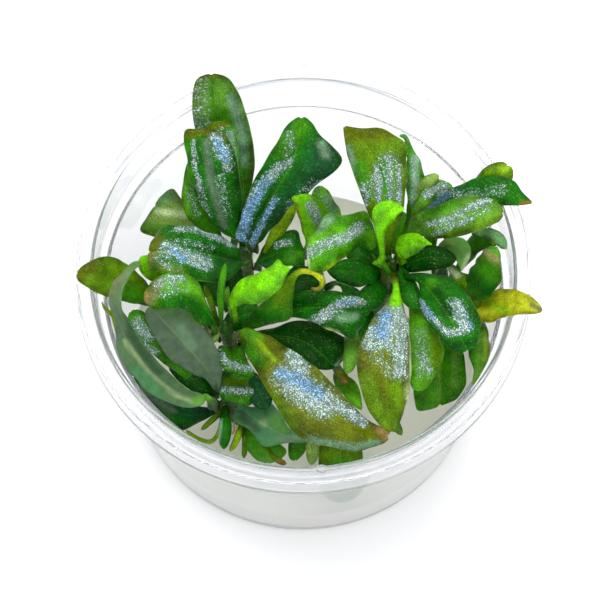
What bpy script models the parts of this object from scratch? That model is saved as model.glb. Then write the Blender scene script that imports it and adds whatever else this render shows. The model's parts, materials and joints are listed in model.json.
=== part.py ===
"""Bucephalandra grown in an open clear plastic culture cup, on a layer of nutrient gel.

Metres, +Z up. The origin is the centre of the cup's foot, on the surface that the cup stands on,
+X is right and +Y is back.
"""

import math
from typing import NamedTuple

import bmesh
import bpy
from mathutils import Quaternion, Vector
from mathutils.geometry import interpolate_bezier

MM = 0.001

# Driving dimensions of the cup
RIM_RADIUS = 50 * MM
CUP_HEIGHT = 64 * MM
FLANGE_WIDTH = 3.6 * MM
FLANGE_THICKNESS = 1.4 * MM
EDGE_ROUND = 0.7 * MM
BEAD = 0.35 * MM
SKIRT_DEPTH = 7.5 * MM
NECK_DEPTH = 9 * MM
LEDGE_WIDTH = 1.9 * MM
FOOT_RADIUS = 41 * MM
FOOT_CORNER = 2.4 * MM
WALL = 1 * MM
TURN_STEPS = 48
GEL_HEIGHT = 14 * MM
GEL_MENISCUS = 0.7 * MM
MENISCUS_REACH = 4 * MM

# Touching pieces keep this gap
GAP = 0.3 * MM

# Stems and leaves
STEM_RADIUS = 1.7 * MM
STEM_KNOTS = 3
STEM_FOOT_GAP = 0.8 * MM
KNOT_WAIST = 0.82
STEM_BUD = 0.45
STALK_WIDTH = 1.5 * MM
STALK_THICKNESS = 1.3 * MM
EDGE_THICKNESS_SHARE = 0.42
TIP_WIDTH = 0.9 * MM
TAIL_WIDTH = 2 * MM
SWELL_POWER = 0.8
TAPER_POWER = 1.6
CURVE_STEPS = 12

# Leaves were placed by eye over the rim, from this point above and in front of the cup
EYE_DISTANCE = 550 * MM
EYE_ELEVATION = math.radians(66.7)
EYE = Vector((
    0,
    -EYE_DISTANCE * math.cos(EYE_ELEVATION),
    CUP_HEIGHT + EYE_DISTANCE * math.sin(EYE_ELEVATION),
))
# Blades face up, and a little to the front
FACING = Vector((0, -0.25, 1)).normalized()


class Look(NamedTuple):
    """A surface: its colour as linear red, green and blue, and its roughness."""

    colour: tuple
    roughness: float


PLASTIC = Look((0.85, 0.87, 0.92), 0.08)
GEL = Look((0.62, 0.66, 0.55), 0.4)
STEM_GREEN = Look((0.16, 0.27, 0.04), 0.4)
DEEP = Look((0.02, 0.13, 0.01), 0.3)
FRESH = Look((0.10, 0.38, 0.01), 0.35)
OLIVE = Look((0.12, 0.16, 0.01), 0.3)
YELLOW = Look((0.30, 0.32, 0.03), 0.4)
UNDERSIDE = Look((0.12, 0.20, 0.11), 0.5)


class Stem(NamedTuple):
    """A short upright rhizome. The foot is (right, back) of the cup's axis, in millimetres, on
    the gel. The top is a sighted place, as a leaf's are.
    """

    foot: tuple
    top: tuple


class Leaf(NamedTuple):
    """One leaf. Lengths are in millimetres and angles in degrees.

    attach is how high its stalk leaves the stem. route lists places along the midrib as
    (right, back, height): where the place is seen over the plane of the rim, and how high it
    really is. stalk is the share of the length before the blade, widest is where along the blade
    it is widest, and tail is the share of the blade that is drawn out thin. blunt is 0 for a
    pointed tip and 1 for a round one. roll turns the blade about its midrib, so 180 shows its
    underside, twist is how much further it has turned at its tip, and fold is how far each half of
    the blade rises from flat.
    """

    stem: str
    attach: float
    route: list
    width: float
    look: Look = DEEP
    stalk: float = 0.15
    widest: float = 0.5
    blunt: float = 0.5
    tail: float = 0
    roll: float = 0
    twist: float = 0
    fold: float = 10
    cells_across: int = 2
    cells_along: int = 7


STEMS = {
    "left": Stem((-16, -6), (-17, -13.5, 50)),
    "low": Stem((-15, -17), (-17, -32, 34)),
    "back": Stem((-12, 13), (-13.5, 4, 43)),
    "centre": Stem((3, 8), (3, 3, 40)),
    "right": Stem((17, 5), (19.5, 1, 56)),
    "far": Stem((29, 8), (31, 0, 46)),
    "front": Stem((6, -14), (5, -30, 28)),
}

LEAVES = {
    # The left plant, whose long silvery leaf lies in front
    "leaf_left_long": Leaf(
        "left", 45,
        [(-12.5, -15.8, 52), (-6, -22, 59), (3, -31.7, 63), (11, -37.4, 63), (17.5, -39.7, 60)],
        15, OLIVE, stalk=0.13, widest=0.55, blunt=0.3, fold=7, cells_across=4),
    "leaf_left_young": Leaf(
        "left", 48,
        [(-15.3, -8.7, 58), (-12, -5.2, 66), (-6.5, -2.4, 69), (-2.3, -0.2, 68)],
        8, FRESH, stalk=0.25, widest=0.45, blunt=0.25),
    "leaf_left_hooked": Leaf(
        "left", 40,
        [(-11.5, -13.5, 48), (-6.5, -9.5, 56), (-2.5, -3.5, 61), (2, -1.3, 63), (5, -4, 62),
         (1.5, -5.5, 60)],
        10, OLIVE, stalk=0.12, widest=0.32, tail=0.4, cells_along=13),
    "leaf_left_wavy": Leaf(
        "left", 37,
        [(-8, -10.5, 46), (-1, -9.8, 51), (6, -10.5, 53), (13, -12.8, 50)],
        11.5, DEEP, widest=0.6, blunt=1),
    "leaf_left_under": Leaf(
        "left", 33,
        [(-9, -15, 40), (2, -17.8, 44), (7.5, -23.5, 42)],
        9, DEEP),
    "leaf_left_bronze": Leaf(
        "left", 46,
        [(-19.5, -12.5, 55), (-22.5, -9.5, 60), (-28, -6, 63), (-33.5, -7.5, 60)],
        10.5, OLIVE, stalk=0.2, blunt=0.7),
    "leaf_left_front_upper": Leaf(
        "left", 36,
        [(-15.2, -20, 41.5), (-13.7, -22.5, 44.3), (-12.9, -26.5, 43.2)],
        8.3, FRESH, stalk=0.3, widest=0.55, blunt=0.9, fold=3),
    "leaf_left_front_lower": Leaf(
        "left", 26,
        [(-14.2, -23, 34), (-13.2, -28, 39), (-13, -32.8, 38)],
        8.5, DEEP, stalk=0.3, widest=0.6, blunt=0.9),
    "leaf_left_over_rim": Leaf(
        "left", 36,
        [(-24, -10.5, 43), (-31, -9.5, 48), (-36.5, -6, 57), (-42.5, -3.3, 66), (-49.3, -2.8, 68)],
        10.5, OLIVE, stalk=0.4, blunt=0.7),
    # The low plant at the left, whose leaves lie along the wall
    "leaf_low_boat": Leaf(
        "low", 32,
        [(-20, -31, 40), (-26, -29.7, 51), (-33, -24.5, 61), (-38.7, -16.5, 66),
         (-41.3, -8, 69), (-39.5, -2, 71), (-34.5, 0.3, 70)],
        12, UNDERSIDE, widest=0.45, tail=0.2, blunt=0.1, roll=180, fold=55, cells_along=10),
    "leaf_low_wall": Leaf(
        "low", 21,
        [(-21, -33.5, 28), (-27, -32.6, 36), (-31.8, -27.5, 41), (-34.3, -22, 43)],
        8.8, DEEP, widest=0.55),
    "leaf_low_bright": Leaf(
        "low", 28,
        [(-24, -26.5, 40), (-29, -21.5, 47), (-33, -17, 50), (-37.5, -12, 50)],
        6.5, FRESH, stalk=0.35),
    "leaf_low_grey": Leaf(
        "low", 33,
        [(-19, -27, 42), (-23, -22.3, 48.5), (-27, -17, 53), (-33, -11.5, 54)],
        11.5, UNDERSIDE, stalk=0.2, widest=0.6, blunt=0.7, roll=180),
    "leaf_low_bluish": Leaf(
        "low", 30,
        [(-13, -33.5, 33), (-8, -36.5, 37.5), (0, -40, 40)],
        9, UNDERSIDE, blunt=0.6, roll=180),
    "leaf_low_hanging": Leaf(
        "low", 25,
        [(-12, -36, 31), (-9, -38, 33), (-7.5, -45, 27)],
        8, FRESH, blunt=0.7),
    # The plant at the back left
    "leaf_back_tall": Leaf(
        "back", 29,
        [(-12, 9, 40), (-13.8, 16, 47), (-16.8, 27, 56), (-18.8, 38, 65), (-20.3, 47, 72)],
        13, FRESH, stalk=0.2, widest=0.68, blunt=1, cells_across=4),
    "leaf_back_second": Leaf(
        "back", 37,
        [(-13.6, 8.5, 46), (-14.7, 15, 54.5), (-17.2, 26, 63.5), (-19, 35.2, 68)],
        9.5, DEEP, widest=0.6, blunt=1),
    "leaf_back_silver": Leaf(
        "back", 41,
        [(-15, 7, 49), (-17.5, 12, 56), (-21, 21, 67), (-23.5, 33, 73)],
        12.5, DEEP, stalk=0.2, blunt=1, cells_across=4),
    "leaf_back_narrow": Leaf(
        "back", 35,
        [(-19, 7, 44), (-23.5, 14, 52), (-25.3, 25, 58)],
        6.5, FRESH, stalk=0.3),
    "leaf_back_cut": Leaf(
        "back", 31,
        [(-20, 6.5, 37), (-26, 9, 41), (-33, 14.5, 43)],
        11, UNDERSIDE, stalk=0.35, widest=0.6, blunt=1),
    "leaf_back_wide": Leaf(
        "back", 42,
        [(-10.5, 6.5, 48), (-7.8, 12.5, 56), (-2.7, 21.5, 64), (1.5, 36, 72)],
        16, DEEP, stalk=0.12, widest=0.62, blunt=0.45, cells_across=4),
    "leaf_back_short": Leaf(
        "back", 33,
        [(-9.5, 2, 39), (-4.5, 3.8, 43), (-0.5, 4.5, 42)],
        8.5, DEEP),
    "leaf_back_broad": Leaf(
        "back", 40,
        [(-12.5, 0.8, 50), (-17, 2, 56), (-23, 3.3, 59.5), (-29, 3.7, 60), (-34.8, 3, 58)],
        12.5, DEEP, stalk=0.12, widest=0.55, blunt=0.7, cells_across=4),
    # The plant in the middle
    "leaf_centre_folded": Leaf(
        "centre", 38,
        [(2, 6.5, 48), (2, 11.5, 56), (-1.8, 17, 60)],
        9, FRESH, fold=35),
    "leaf_centre_behind": Leaf(
        "centre", 34,
        [(7, 8, 45), (6, 13, 52), (3.5, 20.5, 58)],
        7.5, FRESH),
    "leaf_centre_low": Leaf(
        "centre", 28,
        [(8, -4, 33), (12, -11, 38), (12.8, -20, 39)],
        7, FRESH),
    # The right plant
    "leaf_right_long": Leaf(
        "right", 54,
        [(20.3, -5.5, 64), (18.3, -14, 70), (17.3, -26, 71), (18.8, -39, 66)],
        12, OLIVE, stalk=0.2, blunt=0.45, cells_across=4),
    "leaf_right_glitter": Leaf(
        "right", 50,
        [(24, -2.5, 57), (28, -5, 63), (32, -11.3, 68), (35.3, -20, 65)],
        13, DEEP, stalk=0.2, widest=0.45, blunt=0.9, cells_across=4),
    "leaf_right_olive": Leaf(
        "right", 40,
        [(23, -6, 48), (25.5, -13, 55), (26.3, -21, 58), (25, -29.3, 56)],
        7.5, YELLOW, stalk=0.25),
    "leaf_right_veined": Leaf(
        "right", 34,
        [(26, -7, 42), (30, -15, 49), (30, -24, 51), (29, -32.8, 48)],
        12, FRESH, stalk=0.3, widest=0.6, blunt=1),
    "leaf_right_young_upper": Leaf(
        "right", 55,
        [(18, 4.5, 64), (17.3, 10.5, 70), (22.4, 13.7, 71)],
        7, FRESH, stalk=0.2),
    "leaf_right_young_lower": Leaf(
        "right", 53.5,
        [(21.2, 4.3, 61.5), (24, 5, 67), (28.4, 5.3, 68)],
        7, FRESH, stalk=0.2),
    "leaf_right_broad": Leaf(
        "right", 47,
        [(24, 5.8, 56.5), (28, 11, 64.5), (35, 13.2, 70.5), (44, 14, 71)],
        9.8, OLIVE, stalk=0.25),
    "leaf_right_over_rim": Leaf(
        "right", 36,
        [(25.5, 7.5, 48), (29.5, 14, 53.5), (35, 17.7, 63), (43, 18.3, 68.3), (50.5, 15.2, 67)],
        7, DEEP, stalk=0.25),
    "leaf_right_back": Leaf(
        "right", 48,
        [(18.5, 7, 57), (18.3, 14, 63), (16.7, 24, 69), (13.3, 34, 72)],
        14, DEEP, stalk=0.2, widest=0.62, blunt=1, cells_across=4),
    "leaf_right_edge_on": Leaf(
        "right", 40,
        [(22, 6.5, 50), (25, 13, 57), (25.5, 20, 63), (24.8, 27, 66), (22.7, 32.3, 70)],
        8, DEEP, stalk=0.3, twist=40),
    "leaf_right_inner": Leaf(
        "right", 43,
        [(15.5, 3.7, 51), (14.3, 9, 58), (9.3, 7.3, 62), (3.5, 0, 59)],
        11.5, FRESH, blunt=1),
    "leaf_right_under": Leaf(
        "right", 40,
        [(15, -3, 46), (11, -1.5, 49), (5, -1, 48)],
        6.5, DEEP),
    # The plant at the far right
    "leaf_far_narrow": Leaf(
        "far", 32,
        [(34.5, -8.5, 44), (37.8, -14, 56), (37.8, -20, 58), (36, -27.7, 56)],
        5, DEEP, stalk=0.25),
    "leaf_far_over_rim": Leaf(
        "far", 37,
        [(35, -5.5, 49), (39, -8.5, 58.5), (45, -9.2, 66.5), (51.6, -11.2, 67)],
        7, YELLOW, stalk=0.25),
    "leaf_far_grey": Leaf(
        "far", 44.5,
        [(33.5, -3.2, 56), (38.4, -5.5, 65), (40.6, -1.5, 69), (41.5, 4.6, 68)],
        6.5, UNDERSIDE, roll=180),
    "leaf_far_bluish": Leaf(
        "far", 45,
        [(30, 5, 54), (34, 4.6, 59), (34.8, -1.4, 60)],
        4.5, UNDERSIDE, roll=180),
    "leaf_far_bright": Leaf(
        "far", 41,
        [(35.5, 2, 52), (39.5, 5, 59), (43, 6.5, 61)],
        5, YELLOW),
    "leaf_far_back": Leaf(
        "far", 39,
        [(32, 8, 49), (36.5, 16.5, 59), (41, 21.5, 66.5), (46, 24.8, 68)],
        7.5, DEEP, stalk=0.3, blunt=0.8),
    "leaf_far_short": Leaf(
        "far", 35,
        [(28, 10, 47), (29, 15.5, 53), (31.5, 19, 54)],
        5, DEEP, stalk=0.3),
    # The small plant at the front, under the long leaf
    "leaf_front_hanging": Leaf(
        "front", 22,
        [(7, -36, 27), (8, -44, 26), (8, -53, 18)],
        10.5, OLIVE, widest=0.55, blunt=0.8),
    "leaf_front_small": Leaf(
        "front", 25,
        [(1, -37, 30), (-1.8, -45, 25)],
        5, DEEP),
    "leaf_front_bright": Leaf(
        "front", 27,
        [(8, -26, 36), (12.5, -33.5, 40)],
        4.5, FRESH),
}


def new_collection(name):
    collection = bpy.data.collections.new(name)
    bpy.context.scene.collection.children.link(collection)
    return collection


def add_object(collection, name, data, look, see_through=False):
    """Put a mesh or curve in the collection as an object with its own material."""
    material = bpy.data.materials.new(name)
    material.use_nodes = True
    shader = material.node_tree.nodes["Principled BSDF"]
    shader.inputs["Base Color"].default_value = (*look.colour, 1)
    shader.inputs["Roughness"].default_value = look.roughness
    shader.inputs["Metallic"].default_value = 0
    shader.inputs["Transmission Weight"].default_value = 1 if see_through else 0
    obj = bpy.data.objects.new(name, data)
    obj.data.materials.append(material)
    collection.objects.link(obj)
    return obj


def add_turned(collection, name, profile, look):
    """Turn a profile of (radius, height) points about Z. It starts and ends on the axis."""
    mesh = bpy.data.meshes.new(name)
    corners = [(radius, 0, height) for radius, height in profile]
    mesh.from_pydata(corners, [(i, i + 1) for i in range(len(corners) - 1)], [])
    obj = add_object(collection, name, mesh, look, see_through=True)
    screw = obj.modifiers.new("Turn", "SCREW")
    screw.steps = TURN_STEPS
    screw.render_steps = TURN_STEPS
    screw.use_merge_vertices = True
    screw.merge_threshold = 0.00001
    screw.use_smooth_shade = True
    return obj


def neck_radius():
    return RIM_RADIUS - FLANGE_WIDTH


def ledge_height():
    return CUP_HEIGHT - NECK_DEPTH


def inner_radius(height):
    """The body's inside radius: it widens from the floor to the ledge under the neck."""
    foot = FOOT_RADIUS - WALL
    top = neck_radius() - WALL - LEDGE_WIDTH
    share = (height - FOOT_CORNER) / (ledge_height() - FOOT_CORNER)
    return foot + (top - foot) * share


def cup_profile():
    """The cup's section, from the middle of its floor up the inside, over the rim and down."""
    neck = neck_radius()
    ledge = ledge_height()
    body_top = inner_radius(ledge)
    skirt_end = CUP_HEIGHT - SKIRT_DEPTH
    half = WALL / 2
    return [
        (0, WALL),
        (inner_radius(FOOT_CORNER) - FOOT_CORNER, WALL),
        (inner_radius(FOOT_CORNER) - half, FOOT_CORNER * 0.75),
        (inner_radius(FOOT_CORNER * 1.5), FOOT_CORNER * 1.5),
        (body_top, ledge - half),
        (body_top + half, ledge),
        (neck - WALL - half, ledge + BEAD),
        (neck - WALL, ledge + WALL),
        (neck - BEAD, CUP_HEIGHT - half),
        (neck + half, CUP_HEIGHT),
        (RIM_RADIUS - EDGE_ROUND, CUP_HEIGHT),
        (RIM_RADIUS, CUP_HEIGHT - EDGE_ROUND),
        (RIM_RADIUS, skirt_end + 2 * EDGE_ROUND),
        (RIM_RADIUS + BEAD, skirt_end + EDGE_ROUND),
        (RIM_RADIUS, skirt_end),
        (RIM_RADIUS - EDGE_ROUND, skirt_end),
        (RIM_RADIUS - WALL, skirt_end + half),
        (RIM_RADIUS - WALL, CUP_HEIGHT - FLANGE_THICKNESS),
        (neck + half, CUP_HEIGHT - FLANGE_THICKNESS),
        (neck, ledge),
        (neck - half, ledge - WALL),
        (body_top + WALL, ledge - WALL),
        (inner_radius(FOOT_CORNER) + WALL, FOOT_CORNER),
        (FOOT_RADIUS - EDGE_ROUND, EDGE_ROUND),
        (FOOT_RADIUS - FOOT_CORNER, 0),
        (0, 0),
    ]


def gel_profile():
    """The gel's section, down its outer side. Its top creeps up the wall a little."""
    edge = inner_radius(GEL_HEIGHT) - GAP
    floor = WALL + GAP
    return [
        (0, GEL_HEIGHT - GEL_MENISCUS),
        (edge - MENISCUS_REACH, GEL_HEIGHT - GEL_MENISCUS * 0.9),
        (edge - MENISCUS_REACH * 0.3, GEL_HEIGHT - GEL_MENISCUS * 0.4),
        (edge, GEL_HEIGHT),
        (inner_radius(FOOT_CORNER * 1.5) - GAP, FOOT_CORNER * 1.5),
        (inner_radius(FOOT_CORNER) - WALL - GAP, FOOT_CORNER * 0.75 + GAP),
        (inner_radius(FOOT_CORNER) - FOOT_CORNER - GAP, floor),
        (0, floor),
    ]


def sighted(place):
    """The point of that height on the line of sight to the place over the rim's plane."""
    right, back, height = (value * MM for value in place)
    on_rim = Vector((right, back, CUP_HEIGHT))
    toward_eye = EYE - on_rim
    return on_rim + toward_eye * ((height - CUP_HEIGHT) / toward_eye.z)


def stem_ends(stem):
    right, back = (value * MM for value in stem.foot)
    foot = Vector((right, back, GEL_HEIGHT - GEL_MENISCUS + STEM_FOOT_GAP))
    return foot, sighted(stem.top)


def stem_point(stem, height):
    """The point of the stem's axis at that height."""
    foot, top = stem_ends(stem)
    return foot.lerp(top, (height - foot.z) / (top.z - foot.z))


def add_stem(collection, name, stem):
    """A knotted upright stem: a tube that swells at each old leaf scar and ends in a bud."""
    foot, top = stem_ends(stem)
    curve = bpy.data.curves.new(name, "CURVE")
    curve.dimensions = "3D"
    curve.bevel_depth = STEM_RADIUS
    curve.bevel_resolution = 2
    curve.use_fill_caps = True
    spline = curve.splines.new("POLY")
    spline.points.add(2 * STEM_KNOTS)
    for i, point in enumerate(spline.points):
        point.co = (*foot.lerp(top, i / (2 * STEM_KNOTS)), 1)
        point.radius = KNOT_WAIST if i % 2 else 1
    spline.points[-1].radius = STEM_BUD
    return add_object(collection, name, curve, STEM_GREEN)


def smooth_curve(points):
    """Closely spaced places on a smooth curve through all of the points."""
    curve = [points[0]]
    last = len(points) - 1
    for i in range(last):
        start, end = points[i], points[i + 1]
        reach = (end - start).length / 3
        leaving = (end - points[max(i - 1, 0)]).normalized() * reach
        arriving = (points[min(i + 2, last)] - start).normalized() * reach
        curve += interpolate_bezier(start, start + leaving, end - arriving, end, CURVE_STEPS)[1:]
    return curve


def walk(curve, shares):
    """The point and the heading at each share of the curve's length."""
    lengths = [0]
    for start, end in zip(curve, curve[1:]):
        lengths.append(lengths[-1] + (end - start).length)
    found = []
    step = 1
    for share in shares:
        reach = share * lengths[-1]
        while step < len(curve) - 1 and lengths[step] < reach:
            step += 1
        start, end = curve[step - 1], curve[step]
        part = (reach - lengths[step - 1]) / (lengths[step] - lengths[step - 1])
        before, after = curve[max(step - 2, 0)], curve[min(step + 1, len(curve) - 1)]
        found.append((start.lerp(end, part), (after - before).normalized()))
    return found


def half_width(leaf, share):
    """Half the width at a share of the leaf's length: a stalk, then a blade with its tip."""
    if share <= leaf.stalk:
        return STALK_WIDTH / 2
    widest = leaf.width * MM / 2
    along = (share - leaf.stalk) / (1 - leaf.stalk)
    if along < leaf.widest:
        swell = math.sin(math.pi / 2 * along / leaf.widest) ** SWELL_POWER
        return STALK_WIDTH / 2 + (widest - STALK_WIDTH / 2) * swell
    tail_start = 1 - leaf.tail
    past = min((along - leaf.widest) / (tail_start - leaf.widest), 1)
    taper = (1 - past ** (TAPER_POWER * (1 + leaf.blunt))) ** (1 / (1 + leaf.blunt))
    end = TAIL_WIDTH * (1 - 0.5 * along) if leaf.tail else TIP_WIDTH / 2
    return max(widest * taper, end)


def leaf_route(leaf):
    """Points of the midrib, from just outside the stem."""
    stem = STEMS[leaf.stem]
    places = [sighted(place) for place in leaf.route]
    axis = stem_point(stem, leaf.attach * MM)
    outward = (places[0] - axis) * Vector((1, 1, 0))
    start = axis + outward.normalized() * (STEM_RADIUS + GAP + STALK_WIDTH / 2)
    return [start] + places


def blade_shares(leaf):
    """Where along the leaf its cross rows are: two on the stalk, and closer together at the tip."""
    shares = [0, leaf.stalk / 2]
    for i in range(leaf.cells_along + 1):
        along = math.sin(math.pi / 2 * i / leaf.cells_along)
        shares.append(leaf.stalk + (1 - leaf.stalk) * along)
    return shares


def add_leaf(collection, name, leaf):
    """A leaf: a grid laid along the midrib and folded about it, then given its thickness."""
    shares = blade_shares(leaf)
    rows = len(shares)
    columns = leaf.cells_across + 1
    sheet = bmesh.new()
    bmesh.ops.create_grid(sheet, x_segments=columns - 1, y_segments=rows - 1, size=1)
    sheet.verts.ensure_lookup_table()
    fold = math.radians(leaf.fold)
    thickness = []
    frames = walk(smooth_curve(leaf_route(leaf)), shares)
    for row, (share, (middle, heading)) in enumerate(zip(shares, frames)):
        up = (FACING - heading * FACING.dot(heading)).normalized()
        up = Quaternion(heading, math.radians(leaf.roll + leaf.twist * share)) @ up
        across = heading.cross(up)
        half = half_width(leaf, share)
        for column in range(columns):
            side = 2 * column / (columns - 1) - 1
            rise = abs(side) * half * math.sin(fold)
            place = middle + across * (side * half * math.cos(fold)) + up * rise
            sheet.verts[row * columns + column].co = place
            on_blade = share > leaf.stalk
            thin = EDGE_THICKNESS_SHARE if on_blade else 1
            thickness.append(1 + (thin - 1) * abs(side))
    mesh = bpy.data.meshes.new(name)
    sheet.to_mesh(mesh)
    sheet.free()
    obj = add_object(collection, name, mesh, leaf.look)
    group = obj.vertex_groups.new(name="thickness")
    for index, weight in enumerate(thickness):
        group.add([index], weight, "REPLACE")
    solidify = obj.modifiers.new("Thickness", "SOLIDIFY")
    solidify.thickness = STALK_THICKNESS
    solidify.offset = 0
    solidify.vertex_group = group.name
    mesh.shade_smooth()
    return obj


def main():
    for obj in list(bpy.data.objects):
        bpy.data.objects.remove(obj)
    collection = new_collection("bucephalandra")
    add_turned(collection, "cup", cup_profile(), PLASTIC)
    add_turned(collection, "nutrient_gel", gel_profile(), GEL)
    for name, stem in STEMS.items():
        add_stem(collection, "stem_" + name, stem)
    for name, leaf in LEAVES.items():
        add_leaf(collection, name, leaf)


main()
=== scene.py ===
# %% [markdown]
# # A bucephalandra in its culture cup
# A small aquarium plant, grown on nutrient gel in an open round cup of clear plastic. The packed
# model holds every stem and leaf as a plain solid in its true place. This lesson dresses them:
# each leaf gets a fine blade with its own painting, the cup and the gel are turned smoothly, and
# small leaves, roots and a drop of water are added.

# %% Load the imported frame
import bisect
import json
import math
import random
from typing import NamedTuple

import bmesh
import bpy
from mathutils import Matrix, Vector
from mathutils.bvhtree import BVHTree

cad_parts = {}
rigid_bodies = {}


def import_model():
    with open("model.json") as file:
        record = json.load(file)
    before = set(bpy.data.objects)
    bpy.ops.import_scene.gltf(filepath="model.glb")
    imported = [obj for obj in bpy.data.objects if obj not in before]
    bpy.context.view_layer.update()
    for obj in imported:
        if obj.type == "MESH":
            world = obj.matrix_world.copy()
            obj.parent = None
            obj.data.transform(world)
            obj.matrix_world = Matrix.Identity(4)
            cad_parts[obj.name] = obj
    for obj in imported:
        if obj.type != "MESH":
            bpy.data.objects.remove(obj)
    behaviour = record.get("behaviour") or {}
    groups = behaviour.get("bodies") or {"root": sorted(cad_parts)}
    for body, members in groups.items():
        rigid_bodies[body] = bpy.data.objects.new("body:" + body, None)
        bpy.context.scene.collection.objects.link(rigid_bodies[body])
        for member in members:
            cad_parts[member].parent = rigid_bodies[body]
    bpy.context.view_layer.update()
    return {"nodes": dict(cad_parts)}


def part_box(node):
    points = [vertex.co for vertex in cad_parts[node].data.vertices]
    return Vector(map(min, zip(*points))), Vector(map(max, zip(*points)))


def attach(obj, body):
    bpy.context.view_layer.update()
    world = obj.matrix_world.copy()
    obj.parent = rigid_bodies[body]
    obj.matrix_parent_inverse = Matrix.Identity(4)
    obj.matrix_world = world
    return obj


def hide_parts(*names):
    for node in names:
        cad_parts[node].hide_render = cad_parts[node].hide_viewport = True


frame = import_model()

MM = 0.001
nodes = frame["nodes"]

# %% [markdown]
# ## The camera
# The photograph was taken from above and in front, from just over half a metre away, so the cup's
# rim is an ellipse and its front wall shows below it. The eye and the point it looks at are real
# places, and the focal length is the one that gives the rim its size in a 600 pixel frame.

# %% Set the camera
EYE = Vector((0, -217.55, 569.15)) * MM
AIM = Vector((-0.74, -6.9, 61)) * MM
FRAME_PIXELS = 600
FOCAL_PIXELS = 2516
SENSOR = 36

bpy.ops.object.camera_add(location=EYE, rotation=(AIM - EYE).to_track_quat("-Z", "Y").to_euler())
camera = bpy.context.object
camera.data.sensor_width = SENSOR
camera.data.lens = FOCAL_PIXELS / FRAME_PIXELS * SENSOR
bpy.context.scene.camera = camera
print("lens in mm:", round(camera.data.lens, 1))

# %% [markdown]
# ## Light and floor
# The real picture is a bright one on seamless white. A white world fills every gap between the
# leaves, a wide softbox behind gives the blades their sheen, and a weaker one in front keeps the
# near leaves clear. The plain view transform keeps the white white. Inside a clear wall light is
# thrown back many times, so it may bounce more often than Blender's usual number, or the edges of
# the plastic would turn black.

# %% Light the studio
WORLD_LIGHT = 0.98
SOFTBOXES = {
    "softbox_back": ((-0.15, 0.45, 0.9), 1.1, 8),
    "softbox_front": ((0.4, -0.6, 0.8), 1.0, 4),
}
LIT_PLACE = Vector((0, 0, 0.05))
MOST_BOUNCES = 24

scene = bpy.context.scene
scene.view_settings.view_transform = "Standard"
world = bpy.data.worlds.new("studio")
world.use_nodes = True
background = world.node_tree.nodes["Background"]
background.inputs["Color"].default_value = (0.98, 0.99, 1, 1)
background.inputs["Strength"].default_value = WORLD_LIGHT
scene.world = world
scene.cycles.max_bounces = MOST_BOUNCES
scene.cycles.glossy_bounces = MOST_BOUNCES
scene.cycles.transmission_bounces = MOST_BOUNCES
for name, (place, size, power) in SOFTBOXES.items():
    aim = LIT_PLACE - Vector(place)
    turn = aim.to_track_quat("-Z", "Y").to_euler()
    bpy.ops.object.light_add(type="AREA", location=place, rotation=turn)
    bpy.context.object.name = name
    bpy.context.object.data.size = size
    bpy.context.object.data.energy = power
print("lights:", list(SOFTBOXES))

# %% [markdown]
# ## Sums in the shader
# A finish is a graph of nodes, which is long to write out by hand. Two small classes shorten it:
# a Value stands for one socket and turns a sum into Math nodes, and a Finish adds any other node
# in one call.

# %% Write shader sums as Python
class Value:
    """One output socket. An operator on it adds the Math node."""

    def __init__(self, finish, socket):
        self.finish = finish
        self.socket = socket

    def math(self, operation, first, second=0.0):
        return self.finish.add("Math", {"operation": operation}, {0: first, 1: second})

    def __add__(self, other):
        return self.math("ADD", self, other)

    def __radd__(self, other):
        return self.math("ADD", other, self)

    def __sub__(self, other):
        return self.math("SUBTRACT", self, other)

    def __rsub__(self, other):
        return self.math("SUBTRACT", other, self)

    def __mul__(self, other):
        return self.math("MULTIPLY", self, other)

    def __rmul__(self, other):
        return self.math("MULTIPLY", other, self)

    def __pow__(self, other):
        return self.math("POWER", self, other)

    def __abs__(self):
        return self.math("ABSOLUTE", self)

    def wave(self):
        return self.math("SINE", self)

    def above(self, low, high):
        """0 below low and 1 above high, with a soft step between."""
        limits = {0: self, 1: low, 2: high, 3: 0.0, 4: 1.0}
        return self.finish.add("MapRange", {"interpolation_type": "SMOOTHSTEP"}, limits)


class Finish:
    """One material. Its constants are set on the shader, and its nodes are added by add."""

    def __init__(self, name, **constants):
        self.material = bpy.data.materials.new(name)
        self.material.use_nodes = True
        self.tree = self.material.node_tree
        self.shader = self.tree.nodes["Principled BSDF"]
        for socket, value in constants.items():
            self.shader.inputs[socket.replace("_", " ")].default_value = value

    def add(self, kind, settings=None, sockets=None, output=0):
        node = self.tree.nodes.new("ShaderNode" + kind)
        for key, value in (settings or {}).items():
            setattr(node, key, value)
        for key, value in (sockets or {}).items():
            self.plug(node.inputs[key], value)
        return Value(self, node.outputs[output])

    def plug(self, socket, value):
        if isinstance(value, Value):
            self.tree.links.new(value.socket, socket)
        else:
            socket.default_value = value

    def feed(self, socket, value):
        self.plug(self.shader.inputs[socket], value)

    def place(self):
        """Where a point is on the piece, in metres."""
        return self.add("TexCoord", output="Object")

    def noise(self, place, grain, detail=2.0):
        """Soft noise with lumps of about that size, in millimetres."""
        scale = 1 / (grain * MM)
        return self.add("TexNoise", None, {"Vector": place, "Scale": scale, "Detail": detail})

    def mix(self, share, first, second):
        """A colour between two others."""
        return self.add("Mix", {"data_type": "RGBA"}, {0: share, 6: first, 7: second}, output=2)

    def tone(self, colour, strength):
        """A colour made lighter or darker."""
        return self.add("VectorMath", {"operation": "SCALE"}, {0: colour, "Scale": strength})

    def bump(self, height, strength, depth):
        sockets = {"Height": height, "Strength": strength, "Distance": depth * MM}
        self.feed("Normal", self.add("Bump", None, sockets))


def linear(red, green, blue):
    """A colour as the eye reads it from a picture, 0 to 255, as the shader wants it."""
    return tuple((part / 255) ** 2.2 for part in (red, green, blue)) + (1.0,)


print("shader helpers ready")

# %% [markdown]
# The floor is a plain pale sheet, a little rough, with the faintest unevenness.

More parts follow.
